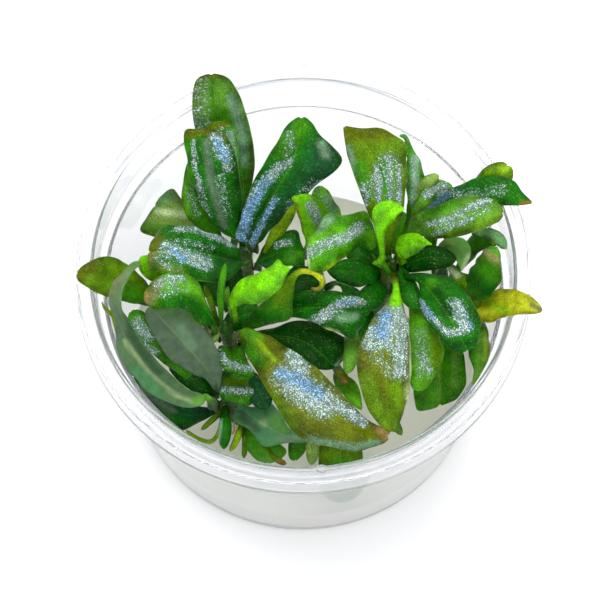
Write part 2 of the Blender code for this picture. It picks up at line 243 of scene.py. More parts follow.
# %% Lay the floor
FLOOR_WIDTH = 3

floor_finish = Finish("pale_floor", Roughness=0.7)
unevenness = floor_finish.noise(floor_finish.place(), 60)
pale = floor_finish.mix(unevenness, linear(250, 250, 251), linear(253, 253, 253))
floor_finish.feed("Base Color", pale)
bpy.ops.mesh.primitive_plane_add(size=FLOOR_WIDTH)
floor = bpy.context.object
floor.name = "floor"
floor.data.materials.append(floor_finish.material)
print("floor width in metres:", FLOOR_WIDTH)

# %% Define the tools for a piece
RIM_HEIGHT = 64
WELD = 0.01 * MM


def select_only(obj):
    bpy.ops.object.select_all(action="DESELECT")
    obj.select_set(True)
    bpy.context.view_layer.objects.active = obj


def edit_all(obj):
    """Open the object in edit mode with everything selected."""
    select_only(obj)
    bpy.ops.object.mode_set(mode="EDIT")
    bpy.ops.mesh.select_all(action="SELECT")


def object_mode():
    bpy.ops.object.mode_set(mode="OBJECT")


def finish_piece(obj, materials, replaced=()):
    select_only(obj)
    for modifier in list(obj.modifiers):
        bpy.ops.object.modifier_apply(modifier=modifier.name)
    obj.data.materials.clear()
    for material in materials:
        obj.data.materials.append(material)
    bpy.ops.object.shade_smooth()
    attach(obj, "root")
    if replaced:
        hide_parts(*replaced)
    return obj


def triangles(obj):
    return sum(len(face.vertices) - 2 for face in obj.data.polygons)


def welded(node):
    """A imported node's mesh with its loose triangles joined up."""
    mesh = bmesh.new()
    mesh.from_mesh(nodes[node].data)
    bmesh.ops.remove_doubles(mesh, verts=mesh.verts, dist=WELD)
    return mesh


def sighted(right, back, height):
    """The place of that height, seen over the plane of the rim at (right, back). All in mm."""
    on_rim = Vector((right, back, RIM_HEIGHT)) * MM
    toward_eye = EYE - on_rim
    return on_rim + toward_eye * ((height - RIM_HEIGHT) * MM / toward_eye.z)


def over_rim(place):
    """Where a place is seen over the plane of the rim, in mm."""
    toward_eye = EYE - place
    on_rim = place + toward_eye * ((RIM_HEIGHT * MM - place.z) / toward_eye.z)
    return Vector((on_rim.x, on_rim.y)) / MM


print("sighting check in mm:", [round(part, 2) for part in over_rim(sighted(10, 20, 40))])

# %% [markdown]
# ## The cup
# The real cup is one thin moulding: a tapered body, a ledge, a straight neck and a flange with a
# skirt, where the lid would clip on. A turned shape is fully given by its section, so the section
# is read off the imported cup, its corners are rounded, and it is spun in steps too fine to see.

# %% Read a turned node's section
TURN_STEPS = 192
ON_SECTION = 0.01 * MM
CORNER_STEPS = 4
LEAST_ARM = 0.45
JOIN = 0.002 * MM


def section_of(node):
    """The section of a turned node at +X, from one end on the axis to the other."""
    mesh = welded(node)
    flat = {vert for vert in mesh.verts if abs(vert.co.y) < ON_SECTION and vert.co.x > -ON_SECTION}
    near = {vert: {edge.other_vert(vert) for edge in vert.link_edges} & flat for vert in flat}
    ends = [vert for vert in flat if len(near[vert]) == 1]
    chain = [max(ends, key=lambda vert: vert.co.z)]
    while near[chain[-1]] - set(chain):
        chain += near[chain[-1]] - set(chain)
    points = [(vert.co.x, vert.co.z) for vert in chain]
    mesh.free()
    on_axis = [(0, height) for radius, height in (points[0], points[-1])]
    return [on_axis[0]] + [point for point in points if point[0] > ON_SECTION] + [on_axis[1]]


def rounded(points, radius):
    """The section with each inner corner swept round, as a die leaves it."""
    smooth = [points[0]]
    for before, corner, after in zip(points, points[1:], points[2:]):
        corner = Vector(corner)
        arms = [Vector(other) - corner for other in (before, after)]
        start, end = (corner + arm.normalized() * min(radius, arm.length * LEAST_ARM) for arm in arms)
        for step in range(CORNER_STEPS + 1):
            share = step / CORNER_STEPS
            inner = start.lerp(corner, share).lerp(corner.lerp(end, share), share)
            smooth.append(tuple(inner))
    return smooth + [points[-1]]


def spin(name, section):
    """Turn a section into a closed object."""
    mesh = bpy.data.meshes.new(name)
    steps = [(i, i + 1) for i in range(len(section) - 1)]
    mesh.from_pydata([(radius, 0, height) for radius, height in section], steps, [])
    obj = bpy.data.objects.new(name, mesh)
    bpy.context.collection.objects.link(obj)
    edit_all(obj)
    bpy.ops.mesh.spin(steps=TURN_STEPS, angle=math.tau, center=(0, 0, 0), axis=(0, 0, 1))
    bpy.ops.mesh.select_all(action="SELECT")
    bpy.ops.mesh.remove_doubles(threshold=JOIN)
    bpy.ops.mesh.normals_make_consistent(inside=False)
    object_mode()
    return obj


cup_section = section_of("cup")
gel_section = section_of("nutrient_gel")
print("points in the sections:", len(cup_section), len(gel_section))

# %% [markdown]
# The plastic is plain clear stock with a trace of milk in it, as such cups have: nearly full
# transmission at its own index of refraction. Mouldings carry a slight haze and fine scuffs, so
# the roughness wanders a little over the surface. The gel is cloudy, so only a little of its light
# goes through and the rest comes back as a soft off-white.

# %% Make the plastic and the gel
PLASTIC_IOR = 1.45
CLEARNESS = 0.95
GEL_IOR = 1.34
GEL_CLEARNESS = 0.15

plastic = Finish("clear_plastic", Base_Color=(0.9, 0.905, 0.935, 1), IOR=PLASTIC_IOR)
plastic.shader.inputs["Transmission Weight"].default_value = CLEARNESS
scuffs = plastic.noise(plastic.place(), 14, 2)
plastic.feed("Roughness", 0.07 + 0.05 * scuffs)

gel = Finish("nutrient_gel", Base_Color=(0.99, 0.99, 0.82, 1), IOR=GEL_IOR)
gel.shader.inputs["Transmission Weight"].default_value = GEL_CLEARNESS
cloud = gel.noise(gel.place(), 9, 3)
gel.feed("Roughness", 0.12 + 0.2 * cloud)
gel.bump(gel.noise(gel.place(), 5), 0.25, 0.3)

# %% Turn the cup and the gel
CUP_CORNER = 0.5 * MM
GEL_CORNER = 0.8 * MM
GEL_TOUCH = 0.27 * MM

cup = spin("culture_cup", rounded(cup_section, CUP_CORNER))
finish_piece(cup, [plastic.material], ["cup"])
gel_outline = [(radius + GEL_TOUCH if radius > 0 else 0, height) for radius, height in gel_section]
gel_body = spin("gel", rounded(gel_outline, GEL_CORNER))
finish_piece(gel_body, [gel.material], ["nutrient_gel"])
print("triangles in cup and gel:", triangles(cup), triangles(gel_body))

# %% [markdown]
# ## The shape of a leaf
# A real leaf is a thin blade on a short stalk. Its midrib is sunk in a groove, each half swells a
# little beside it, and the margins wave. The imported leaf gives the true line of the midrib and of
# both margins as a few cross rows. They are read by walking out over the mesh from the end that
# sits at the stem, one row of points at a time.

# %% Read the rows of a packed leaf
FACING = Vector((0, -0.25, 1)).normalized()
ROW_DEPTH = 0.6 * MM
ROW_REACH = 2.6 * MM
START_TRIES = 10


def walk_rows(mesh, start, face):
    """The points of each cross row, counted from that face, which should be the stalk's end."""
    row = {vert for vert in mesh.verts
           if abs((vert.co - start.co).dot(face.normal)) < ROW_DEPTH
           and (vert.co - start.co).length < ROW_REACH}
    rows = []
    seen = set(row)
    while row:
        rows.append([vert.co.copy() for vert in row])
        row = {edge.other_vert(vert) for vert in row for edge in vert.link_edges} - seen
        seen |= row
    return rows


def packed_rows(node):
    """The left, middle and right of each cross row of a packed leaf, from stalk to tip."""
    mesh = welded(node)
    stem = BVHTree.FromBMesh(welded("stem_" + node.split("_")[1]))
    nearest = sorted(mesh.verts, key=lambda vert: stem.find_nearest(vert.co)[3])[:START_TRIES]
    for start, face in [(vert, face) for vert in nearest for face in vert.link_faces]:
        layers = walk_rows(mesh, start, face)
        if {len(layer) for layer in layers} in ({6}, {10}):
            break
    centres = [sum(layer, Vector()) / len(layer) for layer in layers]
    across = (centres[1] - centres[0]).cross(FACING).normalized()
    rows = []
    for layer in layers:
        layer.sort(key=across.dot)
        half = len(layer) // 2
        left = (layer[0] + layer[1]) / 2
        right = (layer[-1] + layer[-2]) / 2
        rows.append((left, (layer[half - 1] + layer[half]) / 2, right))
        across = (right - left).normalized()
    mesh.free()
    return rows


leaf_rows = {name: packed_rows(name) for name in sorted(nodes) if name.startswith("leaf_")}
print("leaves:", len(leaf_rows), "most rows:", max(len(rows) for rows in leaf_rows.values()))

# %% [markdown]
# Between the rows the blade follows a smooth line through them, so the few rows of the solid
# become a blade without corners. A Track is one such line, read by its share of the length. The
# packed leaf has a plain outline, and a real one has corners, bulges and a tip of its own, so an
# outline may be drawn for it: the left margin, the midrib and the right margin as they are seen
# over the plane of the rim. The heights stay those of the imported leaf.

# %% Run smooth lines through the rows
FINE_STEPS = 8
STALK_ROWS = 2
SHEATH_REACH = 1.2 * MM
SHEATH_SPREAD = 1.35
TIP_END = 0.985
RUNGS = 10


def on_line(points, step):
    """The place at that step of a smooth line through the points."""
    index = min(int(step), len(points) - 2)
    part = step - index
    before = points[max(index - 1, 0)]
    start = points[index]
    end = points[index + 1]
    after = points[min(index + 2, len(points) - 1)]
    straight = (end - before) * part
    bend = (2 * before - 5 * start + 4 * end - after) * part ** 2
    swing = (3 * start - before - 3 * end + after) * part ** 3
    return (2 * start + straight + bend + swing) / 2


class Track:
    """A smooth line through a few points."""

    def __init__(self, points):
        count = (len(points) - 1) * FINE_STEPS
        self.points = [on_line(points, i / FINE_STEPS) for i in range(count + 1)]
        self.reach = [0.0]
        for start, end in zip(self.points, self.points[1:]):
            self.reach.append(self.reach[-1] + (end - start).length)
        self.length = self.reach[-1]

    def at(self, share):
        reach = share * self.length
        step = bisect.bisect_left(self.reach, reach, 1, len(self.reach) - 1)
        part = (reach - self.reach[step - 1]) / max(self.reach[step] - self.reach[step - 1], 1e-9)
        return self.points[step - 1].lerp(self.points[step], part)


class Spine:
    """The lines of one leaf. Its stalk is drawn on towards the stem, with a wider sheath."""

    def __init__(self, rows, stalk_rows=STALK_ROWS, outline=None):
        left, middle, right = rows[0]
        inward = (middle - rows[1][1]).normalized() * SHEATH_REACH
        sheath = tuple(middle + (side - middle) * SHEATH_SPREAD + inward
                       for side in (left, middle, right))
        low = [sheath] + list(rows[:stalk_rows + 1])
        self.stalk_tracks = [Track([row[side] for row in low]) for side in range(3)]
        self.tracks = [Track([row[side] for row in rows[stalk_rows:]]) for side in range(3)]
        self.drawn = None
        if outline:
            self.drawn = [Track(self.drawn_line(side, outline)) for side in range(3)]
        lengths = (self.stalk_tracks[1].length, self.tracks[1].length)
        self.length = sum(lengths)
        self.stalk = lengths[0] / self.length
        rungs = [self.at(self.stalk + (1 - self.stalk) * i / RUNGS) for i in range(RUNGS + 1)]
        self.width = max((right - left).length for left, middle, right in rungs)

    def drawn_line(self, side, outline):
        start = over_rim(self.tracks[side].points[0])
        points = [start] + [Vector(point) for point in outline[side]]
        return points if side == 1 else points + [Vector(outline[1][-1])]

    def at(self, share):
        """Left, middle and right at a share of the length."""
        if share < self.stalk:
            return [track.at(share / self.stalk) for track in self.stalk_tracks]
        blade = (share - self.stalk) / (1 - self.stalk)
        if self.drawn is None:
            return [track.at(blade) for track in self.tracks]
        spots = [track.at(blade * TIP_END) for track in self.drawn]
        heights = [track.at(blade).z / MM for track in self.tracks]
        return [sighted(spot.x, spot.y, height) for spot, height in zip(spots, heights)]


print("lines ready")

# %% [markdown]
# The outlines are drawn from the stalk to the tip, which is the last point of the midrib. Left
# and right are as one walks from the stalk to the tip.

# %% Draw the outlines
OUTLINES = {
    "leaf_back_tall": (
        ((-19, 18), (-22, 26), (-24.6, 33.5), (-25.2, 40), (-24.9, 44), (-23.8, 46.2)),
        ((-16.5, 20), (-19, 31), (-20.6, 40), (-21, 47.5)),
        ((-12.4, 14), (-11, 21), (-10.9, 27), (-11.9, 33), (-13.7, 39.5), (-15.6, 44), (-18, 46.6))),
    "leaf_back_second": (
        ((-18, 13), (-21, 23), (-22.4, 31), (-21.6, 34.4)),
        ((-15, 14), (-16.6, 25), (-18.6, 35.5)),
        ((-12.8, 14), (-13.6, 22), (-14.6, 29), (-15.5, 33), (-16.8, 35))),
    "leaf_back_silver": (
        ((-18, 7.5), (-20.6, 11), (-23.5, 15.5), (-25.6, 21), (-26, 25.5), (-27, 30.5), (-26.4, 33.2)),
        ((-16.6, 9), (-19.5, 15.5), (-21.3, 22), (-22.8, 29.5), (-23.4, 33.2)),
        ((-14, 9), (-13.3, 15), (-13.8, 19.5), (-15, 26.5), (-16.3, 29.8), (-18, 32.3), (-21, 33.4))),
    "leaf_back_narrow": (
        ((-21.5, 7.5), (-25.2, 10.6), (-27, 15), (-26.9, 20), (-26.2, 24)),
        ((-20.5, 8.5), (-24, 13), (-25.6, 19), (-25.6, 25.5)),
        ((-18.5, 9), (-21.5, 13), (-24, 18.5), (-24.9, 23))),
    "leaf_back_cut": (
        ((-23, 4.5), (-29, 5.6), (-33.6, 7), (-36.2, 8.6)),
        ((-24, 8.8), (-29, 12), (-33, 14.3)),
        ((-22.5, 11), (-26, 15), (-27.8, 17.2), (-29.2, 18.8), (-31.3, 17.4))),
    "leaf_back_wide": (
        ((-14.9, 6), (-13.9, 11), (-12.7, 15.5), (-11.2, 20), (-8.4, 25.5), (-6.2, 29.5), (-4.2, 33.6),
         (-2, 36)),
        ((-12.6, 6), (-10.6, 10), (-8, 15), (-4.6, 21), (-1.8, 28), (-0.6, 36.5)),
        ((-9, 6), (-6, 9.5), (-2.6, 13.7), (1.5, 17.6), (5, 20.9), (8.3, 24), (8.6, 26), (6.3, 29.2),
         (3.6, 31.8), (2.2, 34.4), (0.6, 36.2))),
    "leaf_back_broad": (
        ((-15.5, -3), (-20, -4), (-25, -2.8), (-29, -2), (-32, -1.5), (-34.1, -0.4)),
        ((-15.5, 1), (-21, 2.3), (-27, 3.6), (-34, 3)),
        ((-14.5, 5), (-19.5, 7.8), (-25, 9.8), (-29, 10), (-31.9, 8.8), (-33.4, 6.4))),
    "leaf_back_short": (
        ((-9.5, 3.5), (-7.5, 6.8), (-4.4, 8.3), (-1, 8.4)),
        ((-7.5, 2), (-4, 3.2), (0.1, 3.4)),
        ((-8, -1), (-4, -1), (0.4, -0.6))),
    "leaf_left_over_rim": (
        ((-34, -9.8), (-37.5, -9.2), (-41, -8.3), (-44, -7.1), (-47, -5.4), (-49.2, -3.8)),
        ((-35, -6.5), (-41, -3.6), (-45.5, -2.2), (-49.7, -2)),
        ((-34, -4), (-36.5, -1.2), (-38.8, 0.6), (-41.3, 1.9), (-44.2, 2), (-46.8, 0.9), (-48.8, -0.6))),
    "leaf_left_bronze": (
        ((-20.8, -14.8), (-22.8, -13.6), (-24.7, -11.4), (-27, -10.2), (-30, -10.4), (-32.2, -10.6)),
        ((-20.4, -12), (-23, -8.4), (-27.5, -6.2), (-31.5, -6.8), (-34, -9.6)),
        ((-19.9, -11), (-21.4, -6.4), (-24, -2.6), (-27.5, -1.7), (-31, -2.2), (-33.8, -4.6),
         (-34.9, -7.5))),
    "leaf_left_young": (
        ((-16.4, -8), (-15.6, -5.3), (-13, -2.7), (-10.2, -1.8), (-7.7, 0.1), (-5.4, 1.9), (-4.3, 0.3)),
        ((-14, -8), (-10, -5), (-6, -2), (-3.4, -0.6), (-2, -0.3)),
        ((-13.8, -9.6), (-10.6, -9.4), (-7.9, -8.1), (-5.7, -5.7), (-4.1, -3.3), (-3.1, -1.2))),
    "leaf_left_hooked": (
        ((-12.2, -12), (-9.5, -9.2), (-6.5, -6), (-4, -3.1), (-2, -1.2), (0.3, -0.7), (2.5, -1.5),
         (4.4, -2.9), (4.8, -4.6), (3.9, -5.9), (2.5, -6.2)),
        ((-10.5, -13), (-7.5, -10.8), (-4.8, -7.5), (-3, -4.3), (-1.5, -1.9), (0.3, -1.3), (2.5, -2.1),
         (4, -3.5), (4.2, -4.9), (3, -5.7), (1.3, -5)),
        ((-9.5, -14.8), (-5.5, -13.8), (-2.8, -12.7), (-2.4, -9.5), (-2, -6), (-1.8, -3), (-0.6, -1.9),
         (1, -1.9), (2.8, -3), (3.5, -4.3), (2.9, -5.1), (2, -5))),
    "leaf_left_wavy": (
        ((-6, -9), (0, -6), (6, -5.8), (11, -6.8), (13.8, -8.5), (14.5, -10.4)),
        ((-5, -11), (2, -10), (8, -10.2), (13.8, -12.3)),
        ((-7, -14), (-2.4, -12.4), (1.5, -13.2), (4.5, -14.9), (8, -15.9), (10.8, -17.5), (12.6, -15))),
    "leaf_left_under": (
        ((-6, -14.2), (0, -12.6), (6, -15), (10.4, -17.6), (10.5, -19.6), (9.2, -21.7)),
        ((-5, -16.6), (1, -18.4), (7, -24)),
        ((-8, -18), (-4, -20.5), (0, -23), (4, -24.6))),
    "leaf_left_front_upper": (
        ((-13.6, -18.4), (-12, -21.5), (-10.2, -24.6), (-11, -26.3)),
        ((-15.6, -20), (-14.4, -23), (-13.4, -26.8)),
        ((-18.3, -18.6), (-18.3, -21.4), (-17, -24.5), (-15.5, -26.2))),
    "leaf_left_front_lower": (
        ((-10.2, -25.4), (-8.9, -28.5), (-9.7, -31), (-11.3, -32.9)),
        ((-14, -25.5), (-13.6, -29), (-13.4, -32.4)),
        ((-17.8, -25), (-18.1, -28.6), (-17.5, -31.3), (-15.6, -32))),
    "leaf_left_long": (
        ((-12, -14.6), (-8, -16), (-4, -18.6), (0, -21.3), (4, -24.8), (7, -28.3), (10, -31.8), (13.2, -35),
         (15.6, -36.8), (17.9, -37.6)),
        ((-11.6, -15.8), (-8, -18.8), (-4.5, -23), (0, -28), (5, -33), (10, -36.6), (15, -38.6),
         (18.6, -39.5)),
        ((-14, -17.4), (-12.5, -20.8), (-10, -25.2), (-8, -28.8), (-6, -32.4), (-4, -36), (-1.6, -39.2),
         (1.6, -41), (5, -41.7), (8, -42.4), (11, -43.1), (14, -42.3), (17.2, -41.1))),
    "leaf_low_boat": (
        ((-21.5, -32.6), (-25.5, -33.1), (-30, -31.5), (-34.5, -28.8), (-38, -24.6), (-40.2, -19.8),
         (-40.8, -14.5), (-42.6, -8.6), (-42.3, -5), (-39.6, -1.2), (-37, 0.9)),
        ((-22, -31.4), (-27, -29.8), (-32, -26), (-36, -21), (-38.8, -16), (-40.8, -10.5), (-41, -5.8),
         (-38.6, -1.4), (-34.8, 0.4)),
        ((-21.5, -30.1), (-24.5, -29), (-28.5, -25.5), (-32.5, -21.4), (-35.5, -17.4), (-38.2, -13.2),
         (-39.9, -9.5), (-39.2, -5), (-37.8, -1.9), (-36, -0.1))),
    "leaf_low_wall": (
        ((-21, -36), (-25.5, -38.3), (-30, -37.2), (-34, -33), (-36.6, -29)),
        ((-24, -35), (-30, -32.6), (-34.6, -29), (-37.2, -26.3)),
        ((-20.5, -32.8), (-26, -31.5), (-31, -29.5), (-35, -26.6))),
    "leaf_low_bright": (
        ((-29, -24), (-32.6, -21), (-35.8, -17.4), (-38.2, -13.8)),
        ((-28, -22), (-32, -18), (-35.4, -14), (-37.6, -10.8)),
        ((-25, -22.6), (-28, -18.5), (-31.5, -14), (-35, -10.6))),
    "leaf_low_grey": (
        ((-22, -26.4), (-26, -24.3), (-29.3, -21.6), (-31.6, -17.8), (-33.6, -14.3), (-34.4, -11.5)),
        ((-21, -24), (-26, -18), (-31, -12.4), (-33.6, -9.8)),
        ((-17.4, -25.4), (-17.4, -22.4), (-19.4, -18), (-22.2, -13.9), (-25, -10.4), (-29.5, -9.3))),
    "leaf_low_bluish": (
        ((-14, -31.9), (-10.5, -32.2), (-8, -30.9), (-5.2, -34), (-3.3, -37.2), (-1, -39.4)),
        ((-12, -34.2), (-8.8, -36.6), (-5, -39), (0.8, -40.8)),
        ((-15.8, -34.4), (-14, -36.6), (-12, -37.6), (-9.9, -40.4), (-7.9, -42), (-4.5, -41.2))),
    "leaf_low_hanging": (
        ((-9, -38), (-4.6, -41.5), (-3.3, -43.4), (-4.6, -45.1)),
        ((-10.5, -39.5), (-8.4, -43), (-7.5, -45.6)),
        ((-12.4, -39), (-12, -42.5), (-10.4, -44.9))),
    "leaf_centre_folded": (
        ((-0.4, 8), (-1.2, 11), (-2, 14), (-2.8, 16.4)),
        ((1, 8), (1, 12), (-0.4, 15.6), (-1.2, 17.2)),
        ((3.2, 8.5), (4.7, 11.5), (5, 13.6), (3.4, 15.6), (1, 17.2))),
    "leaf_centre_behind": (
        ((3.4, 9), (2.6, 13.5), (1.6, 17), (2.8, 19)),
        ((5.5, 9), (5, 15), (3.8, 19.5)),
        ((8, 9), (8.3, 12.4), (7.1, 15), (5.7, 17.3), (4.6, 18.9))),
    "leaf_right_long": (
        ((21.2, -6.6), (22, -9.4), (22.9, -13), (23.3, -18), (23.4, -23), (23.1, -27.5), (22.5, -31),
         (21.5, -34.2), (20.2, -37.6)),
        ((20.3, -7), (19.4, -13), (18.5, -20), (17.8, -28), (18.1, -34), (19, -38.9)),
        ((19.2, -6.8), (17.5, -8.8), (15.3, -11.6), (13.2, -15.6), (12, -18.8), (11.4, -22.2),
         (11.8, -26.2), (12.7, -30.2), (14, -33.8), (16.4, -37.2))),
    "leaf_right_glitter": (
        ((27, -1.2), (30.5, -1.5), (33.5, -3.4), (35.5, -6), (37.5, -9.5), (38.7, -13), (38.5, -16.2),
         (37.4, -18.6)),
        ((26.5, -4.5), (30.8, -11), (33.6, -16), (35.4, -20)),
        ((24.8, -4), (24.5, -7), (25.3, -10.5), (27, -13.5), (29, -16.3), (31, -19), (33, -20.3))),
    "leaf_right_olive": (
        ((27.2, -13), (30, -17.5), (30.3, -21), (28.9, -25), (27, -28.2)),
        ((25.2, -14), (26.6, -21), (25.8, -26), (25, -29.4)),
        ((22.6, -13), (22.6, -20), (22.8, -26), (23.4, -28.7))),
    "leaf_right_veined": (
        ((32.6, -15), (34.6, -20), (35.1, -25), (34.9, -28.8), (33.6, -30.9)),
        ((29.4, -16), (29.3, -26), (29.2, -32.6)),
        ((24.6, -19), (23.7, -27), (23.8, -31), (24.8, -34))),
    "leaf_right_young_upper": (
        ((15.8, 6.6), (15, 10.5), (15.1, 13.6), (17, 15.6), (19.5, 15.8), (21.3, 14.8)),
        ((17, 7), (17.2, 11.6), (19.6, 13.9), (22.5, 13.7)),
        ((17.9, 7), (18.9, 9.5), (20.4, 11.6), (21.7, 12.9))),
    "leaf_right_young_lower": (
        ((19.6, 4.4), (20.2, 6.6), (22.2, 7.8), (24.8, 7.7), (26.8, 6.4)),
        ((21.4, 4), (23.6, 5.2), (26, 5.5), (28.3, 5.2)),
        ((21.6, 1.4), (23.4, 2.2), (25.2, 3.5), (27, 4.7))),
    "leaf_right_broad": (
        ((23, 10.6), (26, 13.1), (30, 14.9), (34, 16.8), (38, 17.3), (41.5, 16.4), (43.6, 14.6)),
        ((24.5, 8.8), (28.5, 10.4), (34, 12), (39, 13.6), (44.2, 12.7)),
        ((25.4, 6.7), (28.5, 6.2), (32, 6.5), (36, 7.6), (40, 9.1), (43.2, 10.8))),
    "leaf_right_over_rim": (
        ((27, 14.6), (31, 18), (35, 20.1), (39, 21.8), (43, 22.1), (46.6, 21), (48.4, 18.2)),
        ((28, 12.5), (35, 17), (43, 18.6), (48, 16.9), (50.8, 15.1)),
        ((29, 10.5), (35, 13), (40, 14.2), (44, 14.6), (48, 14.6))),
    "leaf_right_back": (
        ((15, 10.5), (13, 16), (11.2, 21.8), (9.8, 26.3), (9, 31)),
        ((18, 12), (17, 20), (14.6, 26.6), (11.2, 31.6), (8.7, 34.2)),
        ((21.8, 12), (22.9, 19), (23.1, 25), (22.9, 29.6), (20.6, 31.8), (17.5, 33.7), (13, 33.6))),
    "leaf_right_edge_on": (
        ((22.8, 13), (23, 22), (23, 28), (22.5, 30.7)),
        ((24.4, 13), (25.2, 22), (24.2, 28), (22.4, 31.7), (20.9, 31.5)),
        ((25.6, 12), (27, 19), (26.9, 23.4), (25.3, 27.2), (24, 29.7), (22.6, 32.2))),
    "leaf_right_inner": (
        ((13.4, 5), (11.6, 3.6), (8, 1), (4, -1.7), (1.8, -1.6)),
        ((13.2, 8.5), (8, 6.5), (3.4, 3), (0.9, -0.6)),
        ((16, 7), (14.4, 13.1), (9.5, 12.3), (5.3, 12.7), (2.6, 8.6), (0.8, 6.2), (0.6, 2))),
    "leaf_far_narrow": (
        ((37, -9), (39, -12), (40.1, -15.5), (40.3, -19.5), (39.6, -23), (37.8, -26.2)),
        ((36.2, -11), (37.8, -15), (38, -20), (37.4, -24.5), (36.2, -27.8)),
        ((34.6, -12), (35.4, -17), (35.6, -21), (36.6, -24), (36.3, -26.4))),
    "leaf_far_over_rim": (
        ((37.5, -7.4), (40, -6), (43, -5), (46, -5.3), (49, -6.6), (51.3, -8.7)),
        ((38, -9.4), (41.5, -9.4), (46, -8.9), (50, -9.6), (52, -10.7)),
        ((36.8, -12), (39.4, -13.2), (42, -12.4), (46, -11.4), (50.2, -11.3))),
    "leaf_far_grey": (
        ((35.2, -2), (37, 0.8), (38.8, 3.3), (40.2, 4.8)),
        ((36.6, -4), (40, 0), (41.4, 3), (41.8, 4.9)),
        ((36, -7.4), (39, -8.2), (41.3, -6.2), (42.9, -3), (43.4, 0.5), (43.2, 3.2))),
    "leaf_far_bluish": (
        ((30.6, 6.4), (34.4, 7), (36.3, 5.3), (36.6, 3), (36, 0.9)),
        ((31.4, 5.2), (34, 4.4), (35.1, 2.2), (34.5, -1.4)),
        ((30.6, 4.2), (32.5, 2.4), (33.8, 0.5))),
    "leaf_far_bright": (
        ((35, 5.4), (37.4, 8), (40.2, 9.3), (42.2, 8.2)),
        ((36, 3.4), (39.6, 6.4), (43, 6)),
        ((36.6, 1), (38.6, 3.4), (41, 4.5), (42.8, 5))),
    "leaf_far_back": (
        ((33, 14), (37, 19.8), (39.4, 23.2), (42, 25.1), (44.3, 25.4)),
        ((36, 14.5), (41, 20), (44, 23.6), (45.5, 24.5)),
        ((37, 11), (43, 16), (46.2, 20.5), (46.6, 22.6), (46.4, 23.9))),
    "leaf_front_small": (
        ((1.6, -40), (0.8, -42.4), (0.2, -44)),
        ((-0.6, -40.5), (-1, -43), (-1.6, -45)),
        ((-2.6, -40), (-3.2, -43), (-2.8, -44.8))),
}
spines = {name: Spine(rows, outline=OUTLINES.get(name)) for name, rows in leaf_rows.items()}
longest = max(spines, key=lambda name: spines[name].length)
print("outlines:", len(OUTLINES), "longest leaf:", longest, round(spines[longest].length / MM, 1), "mm")

# %% [markdown]
# ## Painting a leaf
# The leaves of one plant go from fresh green through deep green to olive and bronze, with brown
# tips, and where the light strikes the raised cells of their tops they glitter silver and blue.
# That glitter is painted highlight, laid on as colour, and so is a soft grey-green painted sheen.
# All is drawn as a painter would do it: a ground colour for the leaf, then strokes of a
# named paint. A stroke's points are where it is seen over the plane of the rim, in millimetres.
# The paints go on the mesh as two attributes, which the finish reads.

# %% Mix the paints
PAINTS = {
    "dark": linear(4, 62, 2),
    "deep": linear(20, 88, 10),
    "bluish": linear(20, 70, 38),
    "leaf": linear(52, 114, 12),
    "mid": linear(78, 126, 38),
    "fresh": linear(82, 150, 26),
    "young": linear(104, 182, 6),
    "olive": linear(80, 90, 4),
    "leaf_olive": linear(78, 112, 8),
    "lime": linear(118, 152, 22),
    "bronze": linear(104, 104, 60),
    "yellow": linear(154, 160, 30),
    "muted": linear(112, 142, 66),
    "under": linear(84, 124, 76),
    "sea": linear(64, 142, 84),
    "grey_under": linear(84, 104, 84),
    "brown": linear(116, 88, 40),
    "tan": linear(150, 122, 74),
    "pale": linear(176, 196, 140),
    # A soft grey-green painted sheen, laid on as a colour stroke
    "mist_sheen": linear(112, 150, 116),
}
# The paints that are not colours but painted highlights, the glints and their blue share: the channel of
# the attribute that they go on, and how strongly
SHINES = {"silver": (0, 1.0), "sparkle": (0, 0.42), "blue": (1, 1.0)}
# A stroke ends that many radii from its line, and fades over that many
STROKE_REACH = 1.7
STROKE_FADE = 1.4


class Look(NamedTuple):
    """How one leaf is finished. dome, wave and buckle are depths in millimetres."""

    ground: str = "deep"
    strokes: tuple = ()
    dome: float = 0.6
    wave: float = 0.4
    buckle: float = 0.0
    under: bool = False


def soft(value, low, high):
    """0 below low and 1 above high, with a soft step between."""
    share = max(0, min(1, (value - low) / (high - low)))
    return share * share * (3 - 2 * share)


def off_stroke(spot, points):
    """How far a spot is from a stroke's line."""
    nearest = (spot - points[0]).length
    for start, end in zip(points, points[1:]):
        line = end - start
        share = max(0, min(1, (spot - start).dot(line) / line.length_squared))
        nearest = min(nearest, (spot - start.lerp(end, share)).length)
    return nearest


def paint(obj, look):
    """Lay the look's strokes on the mesh as the attributes tint, the colour, and shine, the painted
    highlight.
    """
    tint = obj.data.color_attributes.new("tint", "FLOAT_COLOR", "POINT")
    shine = obj.data.color_attributes.new("shine", "FLOAT_COLOR", "POINT")
    strokes = [(kind, radius, [Vector(point) for point in points])
               for kind, radius, *points in look.strokes]
    for index, vert in enumerate(obj.data.vertices):
        spot = over_rim(vert.co)
        colour = Vector(PAINTS[look.ground][:3])
        shines = [0.0, 0.0, 0.0]
        for kind, radius, points in strokes:
            cover = soft(STROKE_REACH - off_stroke(spot, points) / radius, 0, STROKE_FADE)
            if kind in SHINES:
                channel, strength = SHINES[kind]
                shines[channel] = max(shines[channel], cover * strength)
            else:
                colour = colour.lerp(Vector(PAINTS[kind][:3]), cover)
        tint.data[index].color = (*colour, 1)
        shine.data[index].color = (*shines, 1)


print("paints:", len(PAINTS))

# %% [markdown]
# ## Building a blade
# A blade starts as a flat grid. Its points are laid along the spine, with the swell, the groove
# and the waves added, and Solidify gives it a thickness that is full at the stalk and thin at the
# margin. Solidify also puts the underside on a second material.

